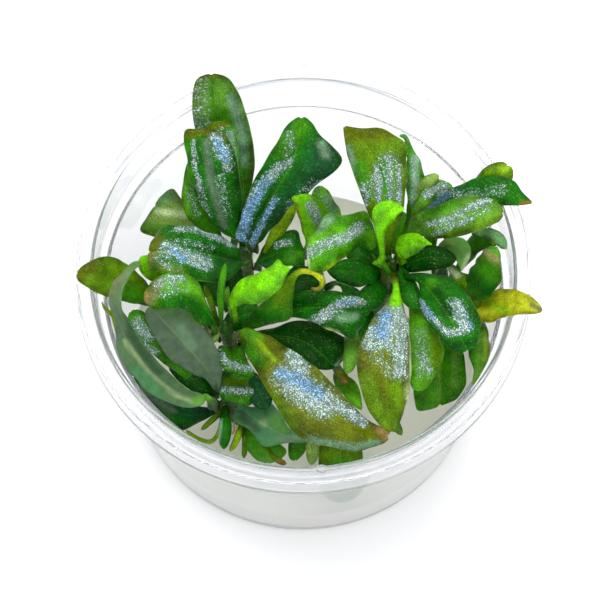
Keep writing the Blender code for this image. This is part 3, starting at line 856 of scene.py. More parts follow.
# %% Lay a blade along its spine
CELL = 0.8 * MM
STALK_THICKNESS = 1.25 * MM
BLADE_SHARE = 0.3
KEEL_WIDTH = 0.6 * MM
SWELL = 0.085
WAVE_LENGTH = 8 * MM
ROUND_TIP = 0.03
WALL_GAP = 0.6 * MM
LAST_HEADING = 0.97
HEADING_STEP = 0.03
TIP_ROUNDNESS = 0.96
BLADE_STARTS = (-0.02, 0.12)
TIP_STARTS = 0.86
SWELL_LIMIT = 5 * MM
THINNER_OUT = 0.08
KEEL_SHARE = 0.5
cup_top = max(cup_section, key=lambda point: point[1])
inner_wall = cup_section[:cup_section.index(cup_top)]


def inside_cup(place):
    """The place, moved in where it would touch the wall."""
    around = Vector((place.x, place.y, 0))
    for low, high in zip(inner_wall, inner_wall[1:]):
        if low[1] <= place.z < high[1]:
            share = (place.z - low[1]) / (high[1] - low[1])
            room = low[0] + (high[0] - low[0]) * share - WALL_GAP
            over = around.length - room
            return place - around.normalized() * max(0, over)
    return place


def blade_point(spine, look, share, side, phase):
    """The place and the thickness share at a share of the length and a side from -1 to 1."""
    left, middle, right = spine.at(share)
    near = min(share, LAST_HEADING)
    heading = (spine.at(near + HEADING_STEP)[1] - spine.at(near)[1]).normalized()
    across = (right - left).normalized()
    up = across.cross(heading).normalized()
    blade = (share - spine.stalk) / (1 - spine.stalk)
    tip = max(0, (blade - 1 + ROUND_TIP) / ROUND_TIP) if spine.drawn is None else 0
    out = abs(side)
    arm = ((left if side < 0 else right) - middle) * math.sqrt(max(0, 1 - tip * tip * TIP_ROUNDNESS))
    on_blade = soft(blade, *BLADE_STARTS)
    away = -1 if look.under else 1
    rise = away * SWELL * 4 * out * (1 - out) * min(arm.length, SWELL_LIMIT) * on_blade
    turn = blade * spine.length / WAVE_LENGTH * math.tau
    ends = on_blade * (1 - soft(blade, TIP_STARTS, 1))
    rise -= look.dome * MM * out * out * ends
    rise += look.wave * MM * out ** 2.5 * math.sin(turn + phase + side * 0.8) * ends
    rise += look.buckle * MM * math.sin(turn * 0.9 + phase) * ends
    keel = math.exp(-(out * arm.length / KEEL_WIDTH) ** 2) * (1 - max(blade, 0)) ** 1.2
    thin = BLADE_SHARE - THINNER_OUT * out + KEEL_SHARE * keel
    thickness = 1 + (thin - 1) * on_blade
    rise += STALK_THICKNESS / 2 * (1 + (BLADE_SHARE - 1) * on_blade)
    return inside_cup(middle + arm * out + up * rise), thickness


def add_blade(name, spine, look):
    """A finished blade, before it is given its materials."""
    phase = random.Random(name).uniform(0, math.tau)
    rows = max(14, round(spine.length / CELL))
    columns = max(8, 2 * round(spine.width / CELL / 2))
    bpy.ops.object.select_all(action="DESELECT")
    bpy.ops.mesh.primitive_grid_add(x_subdivisions=rows, y_subdivisions=columns, size=1)
    obj = bpy.context.object
    obj.name = name
    group = obj.vertex_groups.new(name="thickness")
    for vert in obj.data.vertices:
        share = vert.co.x + 0.5
        place, thickness = blade_point(spine, look, share, -2 * vert.co.y, phase)
        vert.co = place
        group.add([vert.index], thickness, "REPLACE")
    paint(obj, look)
    solidify = obj.modifiers.new("Thickness", "SOLIDIFY")
    solidify.thickness = STALK_THICKNESS
    solidify.offset = -1
    solidify.vertex_group = group.name
    solidify.material_offset = 1
    subdivide = obj.modifiers.new("Smooth", "SUBSURF")
    subdivide.levels = 1
    subdivide.render_levels = 1
    return obj


print("cell of a blade in mm:", CELL / MM)

# %% [markdown]
# ## The finish of a leaf
# The top of a leaf is waxy. Its colour comes from the painted tint, broken up by fine mottling,
# by parallel veins that run out from the midrib, and by a pale line at the margin. Painted shade
# darkens it in soft patches as from folds and towards the margins, and the tone is also darker
# towards the stalk. The glitter is painted highlight: a mosaic of tiny cells, each with its own
# brightness, over a painted sheen, that shows where the painted shine is strong, with ragged
# borders, and a few loose glints lie over the whole top. The underside is matt, paler and greyer,
# with lighter veins.

# %% Make the leaf finishes
GLITTER_GRAIN = 0.21
VEINS = 9
LOOSE_SPECKS = 0.06


def leaf_base(name, roughness):
    """A finish with the parts that both sides of a leaf share."""
    leaf = Finish(name, Roughness=roughness, Specular_IOR_Level=0.13)
    leaf.shader.inputs["Specular Tint"].default_value = (0.85, 1, 0.6, 1)
    place = leaf.place()
    spot = leaf.add("UVMap")
    along = leaf.add("SeparateXYZ", None, {0: spot}, output="X")
    across = leaf.add("SeparateXYZ", None, {0: spot}, output="Y")
    out = abs(across * 2 - 1)
    tint = leaf.add("Attribute", {"attribute_name": "tint"}, output="Color")
    veins = ((out * VEINS - along * 2) * math.tau).wave() * 0.5 + 0.5
    return leaf, place, along, out, tint, veins


leaf_top, place, along, out, tint, veins = leaf_base("leaf_top", 0.3)
mottle = leaf_top.noise(place, 1.6, 4)
grain = leaf_top.noise(place, 0.35, 3).above(0.3, 0.7)
skin = leaf_top.tone(tint, 0.18 + 0.9 * mottle + 0.65 * grain + 0.14 * veins)
rib = 1 - out.above(0.0, 0.05)
skin = leaf_top.mix(rib * 0.15, skin, linear(110, 160, 40))
# Painted shade: soft 5 mm patches stand for the shading of folds, the margins are darker for the shade
# under the edges, and the tone is darker towards the stalk
depth = leaf_top.noise(place, 5, 3).above(0.32, 0.68) * 0.6 + along.above(0.05, 0.5) * 0.35
skin = leaf_top.tone(skin, 0.46 + depth - 0.42 * out.above(0.4, 1.0))
margin = out.above(0.955, 1.0)
skin = leaf_top.mix(margin * 0.4, skin, linear(130, 160, 60))

# Painted highlight: the glint cells, their blue share, the grey-green sheen between them and the loose
# glints are colour laid on the top
shine = leaf_top.add("Attribute", {"attribute_name": "shine"}, output="Color")
silver = leaf_top.add("SeparateColor", None, {0: shine}, output=0)
blue = leaf_top.add("SeparateColor", None, {0: shine}, output=1)
grains = {"Vector": place, "Scale": 1 / (GLITTER_GRAIN * MM)}
cells = leaf_top.add("TexVoronoi", None, grains, output="Color")
chance = leaf_top.add("SeparateColor", None, {0: cells}, output=0)
bright = leaf_top.add("SeparateColor", None, {0: cells}, output=1)
hue = leaf_top.add("SeparateColor", None, {0: cells}, output=2)
lengthwise = leaf_top.add("Mapping", None, {"Vector": leaf_top.add("UVMap"), "Scale": (4, 30, 1)})
streaks = leaf_top.add("TexNoise", None, {"Vector": lengthwise, "Scale": 1.0, "Detail": 3.0})
patchy = (streaks * 0.5 + leaf_top.noise(place, 1.3, 4) * 0.5).above(0.4, 0.6)
dense = silver * (0.2 + 0.75 * patchy) + silver ** 2.0 * 0.4
lit = (dense * 0.6 + LOOSE_SPECKS - chance).above(0.0, 0.05)
blueness = (blue * 0.85 + (hue - 0.5) * 1.1).above(0.2, 1.0)
speck = leaf_top.mix(blueness, linear(168, 184, 180), linear(104, 156, 214))
speck = leaf_top.tone(speck, 0.35 + 1.5 * bright ** 2.0)
loose = leaf_top.mix(0.25, skin, linear(150, 200, 110))
speck = leaf_top.mix((dense * 3).above(0.0, 1.0), loose, speck)
sheen = leaf_top.mix(blueness * 0.7, linear(88, 120, 104), linear(76, 122, 160))
haze = leaf_top.mix(dense.above(0.05, 0.95) * 0.8, skin, sheen)
skin = leaf_top.mix(lit, haze, speck)
leaf_top.feed("Base Color", skin)
leaf_top.feed("Roughness", 0.32 + 0.14 * mottle + dense * 0.08)
folds = leaf_top.noise(place, 4, 2)
leaf_top.bump(0.2 * veins + 0.4 * mottle + 0.5 * lit * bright + 8 * folds, 0.6, 0.08)

leaf_under, place, along, out, tint, veins = leaf_base("leaf_underside", 0.55)
mottle = leaf_under.noise(place, 1.6, 4)
matt = leaf_under.mix(0.4, tint, linear(98, 122, 92))
matt = leaf_under.tone(matt, 0.45 + 0.8 * mottle + 0.1 * veins)
rib = 1 - out.above(0.0, 0.08)
matt = leaf_under.mix(rib * 0.35, matt, linear(120, 150, 80))
leaf_under.feed("Base Color", matt)
leaf_under.feed("Roughness", 0.5 + 0.1 * mottle)
leaf_under.bump(0.2 * veins + mottle + rib, 0.4, 0.1)
print("nodes in the leaf top:", len(leaf_top.tree.nodes))

# %% [markdown]
# ## The looks of the leaves
# Each packed leaf has its own look. A leaf with nothing to tell it from its neighbours is deep
# green.

# %% List the looks
LOOKS = {
    "leaf_back_tall": Look("mid", (
        ("leaf_olive", 1.8, (-24.5, 24), (-25, 34), (-24, 44)), ("olive", 0.8, (-24.5, 46.5), (-18, 47)),
        ("leaf", 0.4, (-20.6, 45), (-20.8, 41), (-20.2, 37)),
        ("leaf", 2.2, (-14, 18), (-17, 26), (-18.5, 36)),
        ("mist_sheen", 1, (-13.2, 25), (-13.8, 33), (-16.4, 41)), ("sparkle", 2.4, (-23.5, 26), (-23.5, 44)))),
    "leaf_back_second": Look("leaf", (
        ("olive", 1, (-21, 33.5), (-17, 35)), ("mist_sheen", 0.8, (-15.6, 24), (-16.4, 32)),
        ("sparkle", 2, (-16, 22), (-18, 32)))),
    "leaf_back_silver": Look("deep", (
        ("olive", 1.6, (-26, 32.4), (-22, 33.2), (-17.5, 32)), ("leaf", 1.2, (-25.6, 20), (-26.4, 28)),
        ("silver", 0.5, (-24.6, 30), (-24.2, 24), (-22.8, 18)), ("sparkle", 1, (-23, 19), (-21, 12)),
        ("grey_under", 0.8, (-21.8, 30), (-20.6, 20), (-17.5, 9.5)),
        ("silver", 1.4, (-19.6, 31), (-18.4, 27)), ("silver", 1.3, (-17.8, 28), (-16.8, 24)),
        ("blue", 0.9, (-19.2, 30), (-18.4, 28), (-17.4, 25.5)), ("sparkle", 1.2, (-18.5, 21), (-17, 12)),
        ("dark", 0.7, (-15, 26), (-14.2, 16)))),
    "leaf_back_narrow": Look("leaf", (
        ("sparkle", 0.9, (-25.5, 18), (-23.5, 12)), ("fresh", 0.8, (-25.8, 12), (-26.6, 20)))),
    "leaf_back_cut": Look("muted", (
        ("mid", 1.6, (-27, 8), (-35, 9)), ("pale", 0.8, (-26, 12), (-32, 13)),
        ("under", 1.2, (-29, 17), (-33, 15))), wave=0.6),
    "leaf_back_wide": Look("deep", (
        ("leaf", 2.2, (-4.6, 28), (-1, 34)), ("bluish", 4.6, (-4, 12), (3.5, 21), (5, 26)),
        ("silver", 1.4, (-14.2, 5), (-12.6, 12), (-9.6, 19), (-5.5, 23.6)),
        ("silver", 0.8, (-5, 23.5), (-3, 25.2)), ("silver", 0.75, (-11.4, 5), (-9.2, 10), (-6.2, 16)),
        ("dark", 0.45, (-12.8, 6), (-10.6, 11), (-7.4, 17)),
        ("blue", 2, (-14.2, 5), (-12.2, 12), (-8.4, 19)), ("blue", 1, (-11.4, 5), (-9, 10.5), (-6.2, 16)),
        ("sparkle", 1.1, (-3.4, 25), (-3, 32)), ("mist_sheen", 1, (5, 27), (4, 29.4)),
        ("sparkle", 1.4, (-3, 14), (3, 20)))),
    "leaf_back_broad": Look("deep", (
        ("olive", 1.8, (-34, 1), (-32.6, 6)), ("leaf_olive", 1.4, (-31, -0.6), (-27, -2)),
        ("silver", 0.8, (-28, 8.6), (-24, 8.8), (-20, 7.2), (-16, 5)), ("dark", 1.2, (-22, 4.6), (-16, 1)),
        ("silver", 1.6, (-30, 4.3), (-26, 2.2), (-21.5, 0.4)), ("blue", 0.8, (-28.5, 3.3), (-26, 1.3)),
        ("sparkle", 1.3, (-32, 2), (-28, -1)), ("sparkle", 1, (-27, 5.8), (-20, 4)))),
    "leaf_back_short": Look("deep", (("silver", 0.8, (-6, 5), (-3, 5.5)), ("leaf", 1.4, (-3, 1), (-1, 3)))),
    "leaf_left_over_rim": Look("leaf_olive", (
        ("leaf", 2.2, (-40, -6), (-34, -8)), ("olive", 1.4, (-49.6, -2.6), (-46, 0))), wave=0.3),
    "leaf_left_bronze": Look("leaf", (
        ("fresh", 1.8, (-31, -4), (-26, -4), (-21.5, -8)), ("bronze", 1.2, (-33.6, -8.6), (-31.6, -4)),
        ("tan", 0.5, (-34.6, -9), (-34.4, -6.4)), ("deep", 1.8, (-29, -8.6), (-24, -9), (-20, -13)),
        ("silver", 0.7, (-31.8, -4.6), (-29.4, -3), (-26, -2.8)), ("sparkle", 2, (-31, -6), (-27, -5)))),
    "leaf_left_young": Look("young", (
        ("pale", 0.6, (-2.4, -0.3), (-2, 0)),
        ("fresh", 1.4, (-13, -8.4), (-7, -6.4), (-4.4, -3))), wave=0.3),
    "leaf_left_hooked": Look("leaf", (
        ("lime", 1.6, (-1.4, -2.4), (1, -1.4), (4.6, -3.6)),
        ("yellow", 0.7, (0, -1.2), (3.6, -2.8), (4.4, -4)), ("brown", 0.6, (3.4, -5.4), (1.3, -5.2)),
        ("leaf_olive", 1.6, (-5, -8), (-3, -4)), ("deep", 1.6, (-11, -12), (-6, -12.5))), wave=0.25),
    "leaf_left_wavy": Look("deep", (
        ("silver", 1.2, (2.5, -13.2), (5, -11.5), (8, -9), (13, -8)),
        ("pale", 0.35, (-1, -12.8), (2.6, -13.8)), ("pale", 0.35, (5, -15.2), (8, -15.8)),
        ("mist_sheen", 0.8, (8, -12.4), (11.4, -11.8)), ("dark", 1.2, (-5, -10), (2, -8)),
        ("blue", 0.6, (8, -9), (11, -8.4))), wave=0.7),
    "leaf_left_under": Look("dark", (("mist_sheen", 0.4, (9.4, -20.8), (7.2, -23.4)),)),
    "leaf_left_front_upper": Look("leaf", (
        ("silver", 0.8, (-18, -20.8), (-16.5, -22.8), (-14.3, -23.7), (-10.8, -24.2)),
        ("leaf", 1.2, (-16, -19.6), (-12.4, -21)), ("dark", 0.5, (-17, -25), (-12, -25.8))), buckle=0.35),
    "leaf_left_front_lower": Look("deep", (
        ("silver", 0.8, (-17, -29), (-14, -29.3), (-10, -29.2)),
        ("leaf_olive", 1, (-16.4, -27.2), (-10.6, -27.2)),
        ("leaf", 0.8, (-15.6, -31.2), (-11.6, -31.4))), buckle=0.35),
    "leaf_left_long": Look("olive", (
        ("fresh", 1.6, (-13.5, -13), (-10.6, -16.6)), ("leaf", 1.6, (-12.4, -19), (-9.6, -22.6)),
        ("silver", 2, (-2, -21.6), (-0.6, -24.4)), ("silver", 3.2, (-3.4, -26), (0.5, -29.4), (4.4, -32)),
        ("silver", 1.4, (7.4, -32.6), (12.8, -36)), ("blue", 1.5, (-5.5, -25), (-1, -26.8), (3.5, -29.4)),
        ("leaf_olive", 1.6, (-7, -31), (-2.6, -37)), ("lime", 0.5, (-10, -17.4), (-6.2, -22)),
        ("mist_sheen", 0.9, (1.4, -40.4), (6, -41.4), (11, -42.2), (15.6, -41.2)),
        ("tan", 1.1, (16.8, -38), (18.2, -40)))),
    "leaf_low_boat": Look("under", (
        ("bluish", 1, (-38, -12), (-36.4, -18), (-31, -25)), ("grey_under", 1.2, (-41.4, -9), (-39.6, -17)),
        ("pale", 0.45, (-38.5, -18), (-33, -25.4), (-27, -30.4), (-23, -32)),
        ("young", 1, (-18, -31), (-23, -31.6)), ("sea", 1.4, (-36, -24.6), (-31, -30)),
        ("bronze", 1, (-42, -7), (-40, -2.4)),
        ("leaf_olive", 0.8, (-38.6, -0.6), (-35, 0.3))), under=True, wave=0.2),
    "leaf_low_wall": Look("bluish", (
        ("grey_under", 0.9, (-28, -34), (-34, -28.8)), ("deep", 0.8, (-24, -37), (-33, -33.6)))),
    "leaf_low_bright": Look("leaf", (
        ("silver", 1.2, (-36, -13.5), (-33.5, -17)), ("silver", 0.8, (-33.5, -19.5), (-32, -20.4)))),
    "leaf_low_grey": Look("grey_under", (
        ("under", 1.6, (-30, -11), (-24, -12)), ("leaf", 0.8, (-32.6, -10), (-29, -9.6)),
        ("mist_sheen", 1, (-27, -14), (-24, -19))), under=True),
    "leaf_low_bluish": Look("sea", (
        ("fresh", 1, (-6.4, -35.4), (-4, -38)), ("pale", 0.6, (-8.6, -36.4), (-8, -36.9)),
        ("bluish", 0.9, (-13, -35), (-10, -38)),
        ("mist_sheen", 0.8, (-5, -40), (-1, -40.2))), under=True, wave=0.8),
    "leaf_low_hanging": Look("leaf", (("mid", 1, (-8, -45), (-6, -44)),), wave=0.3),
    "leaf_centre_folded": Look("young", (
        ("silver", 1.2, (1.5, 14.5), (3, 11)), ("lime", 0.6, (-1.6, 15), (-0.8, 10)))),
    "leaf_centre_behind": Look("young", (
        ("sparkle", 1.8, (2.4, 18), (5, 12)), ("mist_sheen", 0.7, (5, 16.6), (7, 13.4)))),
    "leaf_centre_low": Look("deep", (("leaf", 1, (-3, -8), (-1, -11)),)),
    "leaf_right_long": Look("olive", (
        ("young", 1.2, (20.2, -5), (20, -9)), ("leaf_olive", 2, (13.4, -27), (17, -36)),
        ("leaf_olive", 1.4, (20, -27), (19.6, -36)), ("silver", 2.3, (18.6, -12), (17.4, -17.6)),
        ("silver", 1.5, (20.8, -17), (20.8, -25)), ("silver", 1.1, (15, -15), (14, -19)),
        ("blue", 1.6, (17.8, -11.5), (16.8, -16)), ("sparkle", 1.6, (16, -21), (18.6, -25)),
        ("silver", 1.5, (20.6, -11), (21.6, -15)), ("pale", 0.35, (23.1, -14), (23.2, -24), (22.3, -31)))),
    "leaf_right_glitter": Look("deep", (
        ("leaf", 1.2, (28, -4), (30, -7)), ("silver", 0.8, (25.4, -8.6), (27.6, -12), (31, -15.6)),
        ("silver", 1.1, (33.4, -8.6), (34.2, -11)), ("silver", 1.5, (34.4, -12), (35, -14.4)),
        ("silver", 0.9, (31, -15.6), (34, -15.4)), ("blue", 0.8, (36, -11), (37.2, -15)),
        ("blue", 0.6, (25.6, -9), (28, -12.4)), ("dark", 0.8, (32.6, -18.8), (37, -17.6)),
        ("dark", 1.4, (29, -6), (31.4, -11)), ("sparkle", 0.9, (32, -8), (33, -12))), wave=0.3, dome=1.4),
    "leaf_right_olive": Look("fresh", (
        ("sparkle", 1.6, (25.4, -16), (25.8, -25)), ("silver", 0.7, (25.6, -21.4), (27, -24.4)),
        ("leaf_olive", 1.4, (28.6, -15), (28.4, -23)))),
    "leaf_right_veined": Look("leaf", (
        ("mid", 0.6, (29, -20), (29, -31)), ("mid", 0.5, (32.5, -21), (32.5, -28))), wave=0.3),
    "leaf_right_young_upper": Look("young", (("fresh", 1.2, (16.2, 10), (17.6, 14)),), wave=0.3),
    "leaf_right_young_lower": Look("young", (("fresh", 0.8, (22.4, 3), (26.6, 5)),), wave=0.3),
    "leaf_right_broad": Look("mid", (
        ("leaf_olive", 0.9, (29, 6.8), (36, 8.4), (43, 11.6)), ("leaf", 1.2, (27, 12.6), (33, 15.4)),
        ("silver", 0.6, (27, 9.8), (33, 12), (38, 15), (41, 16)),
        ("silver", 0.45, (28.6, 7.6), (33, 9.5), (38, 12.2)), ("sparkle", 1.3, (29, 10), (40, 14)))),
    "leaf_right_over_rim": Look("deep", (
        ("brown", 0.7, (48.4, 15), (50.6, 15.1)), ("deep", 1.4, (37, 18.6), (44, 20)),
        ("silver", 0.8, (28, 13.8), (32.4, 18)), ("blue", 0.9, (28, 13.8), (31.6, 17.2)),
        ("sparkle", 1.4, (33, 17.4), (44, 18.4)), ("mid", 0.9, (34, 13.8), (42, 15.2))), wave=0.3),
    "leaf_right_back": Look("leaf_olive", (
        ("olive", 2, (10.4, 32), (18, 32.4)), ("mist_sheen", 0.7, (9.8, 28.6), (11.7, 22)),
        ("leaf", 1.6, (12.6, 24), (13.4, 17)), ("silver", 0.6, (13.8, 15), (13.4, 19.5)),
        ("silver", 0.7, (16.6, 14), (16.6, 19), (16.2, 24)),
        ("silver", 0.7, (19, 15), (19.2, 21), (18.8, 26.6)), ("silver", 0.6, (21, 14), (21.2, 24)),
        ("dark", 0.35, (18, 16), (17.9, 22)), ("leaf", 1.8, (18, 17), (18, 24)),
        ("sparkle", 2.2, (15, 18), (19, 26)))),
    "leaf_right_edge_on": Look("leaf", (
        ("mist_sheen", 0.8, (24.5, 15), (24.8, 26)), ("sparkle", 1, (24.4, 15), (24.4, 26)))),
    "leaf_right_inner": Look("fresh", (
        ("leaf", 2.6, (5, 1), (12, 5)), ("leaf", 1.2, (8, 10.5), (14, 10)),
        ("silver", 1.2, (1.6, 3), (5, 5.5), (9, 6.4), (12.5, 9.5)), ("pale", 0.4, (0.9, -0.6), (0.9, 4)),
        ("mist_sheen", 0.9, (3.4, 9), (6, 11.6)), ("lime", 0.6, (5, -1), (9, 1.6)))),
    "leaf_right_under": Look("deep", (("deep", 1.6, (8, -3), (13, -2)),)),
    "leaf_far_narrow": Look("mid", (
        ("leaf", 0.8, (37, -14), (36.6, -23)), ("lime", 0.5, (39.6, -15), (39.4, -22)))),
    "leaf_far_over_rim": Look("yellow", (
        ("bronze", 0.5, (49.6, -9), (51.6, -10.4)), ("lime", 1, (39, -8), (44, -10.6))), wave=0.3),
    "leaf_far_grey": Look("leaf", (
        ("bronze", 1, (39.6, 3.4), (42.2, 1.4)), ("deep", 2, (36.6, -3), (40, -5.4)))),
    "leaf_far_bluish": Look("fresh", (
        ("pale", 0.5, (36.2, 2.6), (34.8, -1)),
        ("lime", 0.7, (30.4, 5.6), (32.6, 5.8))), under=True, wave=0.2),
    "leaf_far_bright": Look("leaf", (("lime", 0.7, (42, 5.8), (43, 6)),)),
    "leaf_far_back": Look("leaf_olive", (
        ("lime", 1, (44, 23.6), (46, 24.6)), ("leaf", 1.4, (35, 14), (38, 17)))),
    "leaf_far_short": Look("leaf", (("silver", 0.8, (29.5, 15), (31, 18)),)),
    "leaf_front_hanging": Look("leaf_olive", (("leaf", 2, (8, -46), (8, -52)),), wave=0.3),
    "leaf_front_small": Look("leaf", ()),
    "leaf_front_bright": Look("fresh", ()),
}
print("looks:", len(LOOKS), "leaves without one:", sorted(set(spines) - set(LOOKS)))

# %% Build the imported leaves
TOP_FIRST = [leaf_top.material, leaf_under.material]
UNDER_FIRST = [leaf_under.material, leaf_top.material]

for name, spine in spines.items():
    look = LOOKS[name]
    blade = add_blade(name.replace("leaf", "blade"), spine, look)
    finish_piece(blade, UNDER_FIRST if look.under else TOP_FIRST, [name])
blades = [obj for obj in bpy.data.objects if obj.name.startswith("blade_")]
print("blades:", len(blades), "triangles:", sum(triangles(obj) for obj in blades))

# %% [markdown]
# ## The small leaves
# Between the large leaves stand smaller ones, and the tips of leaves that are mostly hidden. They
# have no solid of their own, so their lines are drawn in the same way: places over the
# rim's plane with their heights, and a width. Only the part that the photograph shows is drawn, so
# some of them start short of any stem.

# %% Draw the small leaves
SMALL_ROWS = 8
SMALL_STALK = 0.5 * MM


def drawn_rows(route, width, widest=0.5):
    """Rows like a packed leaf's, along a drawn route."""
    points = [sighted(*place) for place in route]
    rows = []
    for index in range(SMALL_ROWS + 1):
        share = index / SMALL_ROWS
        middle = on_line(points, share * (len(points) - 1))
        ahead = on_line(points, min(share + 0.05, 1) * (len(points) - 1))
        behind = on_line(points, max(share - 0.05, 0) * (len(points) - 1))
        across = (ahead - behind).cross(FACING).normalized()
        swell = share / widest if share < widest else (1 - share) / (1 - widest)
        half = SMALL_STALK + (width * MM / 2 - SMALL_STALK) * math.sin(swell * math.pi / 2) ** 0.8
        rows.append((middle - across * half, middle, middle + across * half))
    return rows


SMALL_LEAVES = {
    "back_tip": ([(25, 15, 58), (26.8, 19.5, 62), (30, 22, 64)], 3.5, Look("muted")),
    "back_silvery": ([(24, 12, 56), (26, 15, 60), (29, 19.5, 62), (33, 19, 61)], 3.5, Look("mid", (
        ("silver", 1, (27, 17), (31, 19.5)),))),
    "right_light": ([(32, 0, 52), (34, -2.5, 55), (37, -5, 57), (38, -10, 55)], 3.5, Look("leaf_olive", (
        ("pale", 0.8, (32, -1), (33.5, -2)),))),
    "right_dark_tip": ([(38, 8, 58), (42, 7.5, 62), (44.5, 4, 62)], 3, Look("under")),
    "middle_dark": ([(19, 1.5, 52), (14, 6.5, 50), (11, 8, 47)], 4.5, Look("deep")),
    "middle_sheath": ([(19.5, -3, 52), (17.5, 0.5, 56), (15, 0.6, 56)], 1.6, Look("leaf")),
    "right_bright": ([(21.5, -1, 52), (23, -6, 56), (25, -10.4, 56)], 5, Look("deep")),
    "right_shaded": ([(20.5, -0.5, 50), (27, 2, 56), (33.5, 1.5, 57)], 6, Look("dark")),
    "right_filler": ([(18.5, -1.5, 45), (13, 2.6, 47), (8.6, 5, 45)], 6, Look("deep")),
    "right_low": ([(18.5, -2, 43), (15, -7, 46), (12, -10.6, 45)], 6, Look("deep")),
    "right_top": ([(20, 4, 47), (21.4, 9, 50), (22, 13, 50)], 5, Look("leaf")),
    "middle_stalk": ([(10, -13, 42), (10.6, -19, 47), (9.4, -25.4, 47)], 4, Look("mid")),
    # Partly a dark leaf and partly the shadow that the young leaf casts in the middle of the plant: that
    # shade is painted as dark leaf colour
    "centre_dark": ([(-7, -7, 40), (-1, -4, 43), (4, -3.4, 43)], 8, Look("dark")),
    "left_bright": ([(-29, -4, 48), (-33, -1, 53), (-35.8, 2, 55)], 5, Look("young")),
    "left_inner": ([(-14.6, -9, 40), (-15.4, -3, 44), (-16, 2, 45)], 5, Look("dark")),
    "left_outer": ([(-17, -10, 42), (-20.4, -5, 46), (-23.4, -2, 47)], 5, Look("deep")),
    "left_low": ([(-17, -15, 39), (-13.4, -12, 43), (-9, -10.6, 43)], 6, Look("deep")),
    "front_inner": ([(-12, -25, 36), (-9.4, -29.4, 40), (-8, -33.6, 39)], 6, Look("bluish")),
    "front_mid": ([(1, -37, 34), (2, -42, 38), (1.8, -46, 37)], 3.2, Look("muted")),
    "front_brown": ([(-8, -42, 32), (-5.6, -44.6, 34), (-3.4, -45.8, 34)], 1.6, Look("leaf_olive", (
        ("brown", 0.9, (-4.6, -45.4), (-3.4, -45.8)),))),
    "middle_olive": ([(-8, 4, 40), (-4.5, 11, 46), (-2, 15, 48)], 4, Look("lime")),
    "left_spike": ([(-17.8, -13, 50), (-18, -6, 58), (-17, 0.6, 61)], 1.8, Look("leaf")),
    "left_sheath": ([(-15, -11, 49), (-16.8, -7, 55), (-16.3, -5, 56)], 1.8, Look("mid")),
    "left_curled_sheath": ([(-21, -15.5, 46), (-19.5, -17.5, 48), (-18.2, -15.5, 47)], 1.6, Look("muted")),
    "left_olive_stalk": ([(-18.5, -14, 46), (-20, -9, 52), (-21.5, -4.5, 52)], 1.6, Look("leaf_olive")),
    "wall_thin": ([(-38, -22, 40), (-40.5, -19, 48), (-43, -13, 54), (-44, -8.7, 56)], 2.4, Look("lime")),
    "low_dark": ([(-18, -29.5, 36), (-23, -27, 40), (-29, -23, 41)], 5, Look("dark")),
    "front_blade": ([(-16.5, -33, 33), (-16.6, -38, 36), (-16.8, -42.5, 34)], 3.2, Look("deep", (
        ("mist_sheen", 0.4, (-17.6, -36), (-18, -41)),))),
    "front_twig": ([(-16.5, -33, 32), (-19, -35.5, 34), (-21.7, -38.2, 34)], 1.5, Look("leaf_olive")),
    "front_narrow": ([(-13, -36.5, 31), (-14, -40, 33), (-15.5, -43, 31)], 1.8, Look("lime")),
    "front_narrower": ([(-12.5, -38, 30), (-12.3, -41, 31), (-12.5, -44.5, 29)], 1.6, Look("leaf_olive")),
    "low_thread": (
        [(-17, -33, 31), (-17.8, -38, 30), (-19.6, -40.8, 30), (-22.9, -39.7, 31), (-25, -38.2, 32)],
        1.1, Look("lime")),
    "front_right_tip": ([(17, -30, 44), (19, -35, 50), (21, -39.3, 50)], 2.4, Look("mid")),
    "front_hidden": ([(6, -22, 36), (8, -25, 42), (9.5, -27.6, 44)], 2.6, Look("olive", (
        ("brown", 0.8, (8.5, -27), (9.5, -27.6)),))),
}
for name, (route, width, look) in SMALL_LEAVES.items():
    blade = add_blade("small_" + name, Spine(drawn_rows(route, width), 1), look)
    finish_piece(blade, TOP_FIRST)
print("small leaves:", len(SMALL_LEAVES))

# %% [markdown]
# ## The stems
# A bucephalandra grows from a rhizome, a short thick stem ringed by the scars of old leaves. The
# packed stem gives the two ends. The dressed one is a curve whose width swells at each scar, made
# into a mesh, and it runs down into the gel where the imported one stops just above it.

# %% Make the stem finish
rhizome = Finish("rhizome", Roughness=0.5)
place = rhizome.place()
fibres = rhizome.noise(place, 0.8, 4)
patches = rhizome.noise(place, 4, 2)
bark = rhizome.mix(patches.above(0.42, 0.62), linear(36, 84, 16), linear(72, 78, 28))
rhizome.feed("Base Color", rhizome.tone(bark, 0.6 + 0.8 * fibres))
rhizome.bump(fibres, 0.6, 0.2)
print("rhizome finish ready")

# %% Draw a tube
def add_tube(name, points, radii, sides=3):
    """A tube with a width of its own at each point, as a closed mesh."""
    curve = bpy.data.curves.new(name, "CURVE")
    curve.dimensions = "3D"
    curve.bevel_depth = 1
    curve.bevel_resolution = sides
    curve.use_fill_caps = True
    spline = curve.splines.new("POLY")
    spline.points.add(len(points) - 1)
    for spot, point, radius in zip(spline.points, points, radii):
        spot.co = (*point, 1)
        spot.radius = radius
    obj = bpy.data.objects.new(name, curve)
    bpy.context.collection.objects.link(obj)
    select_only(obj)
    bpy.ops.object.convert(target="MESH")
    obj = bpy.context.object
    edit_all(obj)
    bpy.ops.mesh.remove_doubles(threshold=JOIN)
    bpy.ops.mesh.normals_make_consistent(inside=False)
    object_mode()
    return obj


STEM_RADIUS = 1.7 * MM
SCAR_SPACING = 2.3 * MM
STEM_SINK = 3 * MM
RINGS_PER_SCAR = 6
END_RING = 0.8 * MM
STEM_SWAY = 0.25
ROOT_STEP = 1.6


def stem_ends(node):
    """The middle of a packed stem's foot and of its top."""
    mesh = welded(node)
    heights = [vert.co.z for vert in mesh.verts]
    ends = []
    for level in (min(heights), max(heights)):
        ring = [vert.co.copy() for vert in mesh.verts if abs(vert.co.z - level) < END_RING]
        ends.append(sum(ring, Vector()) / len(ring))
    mesh.free()
    return ends


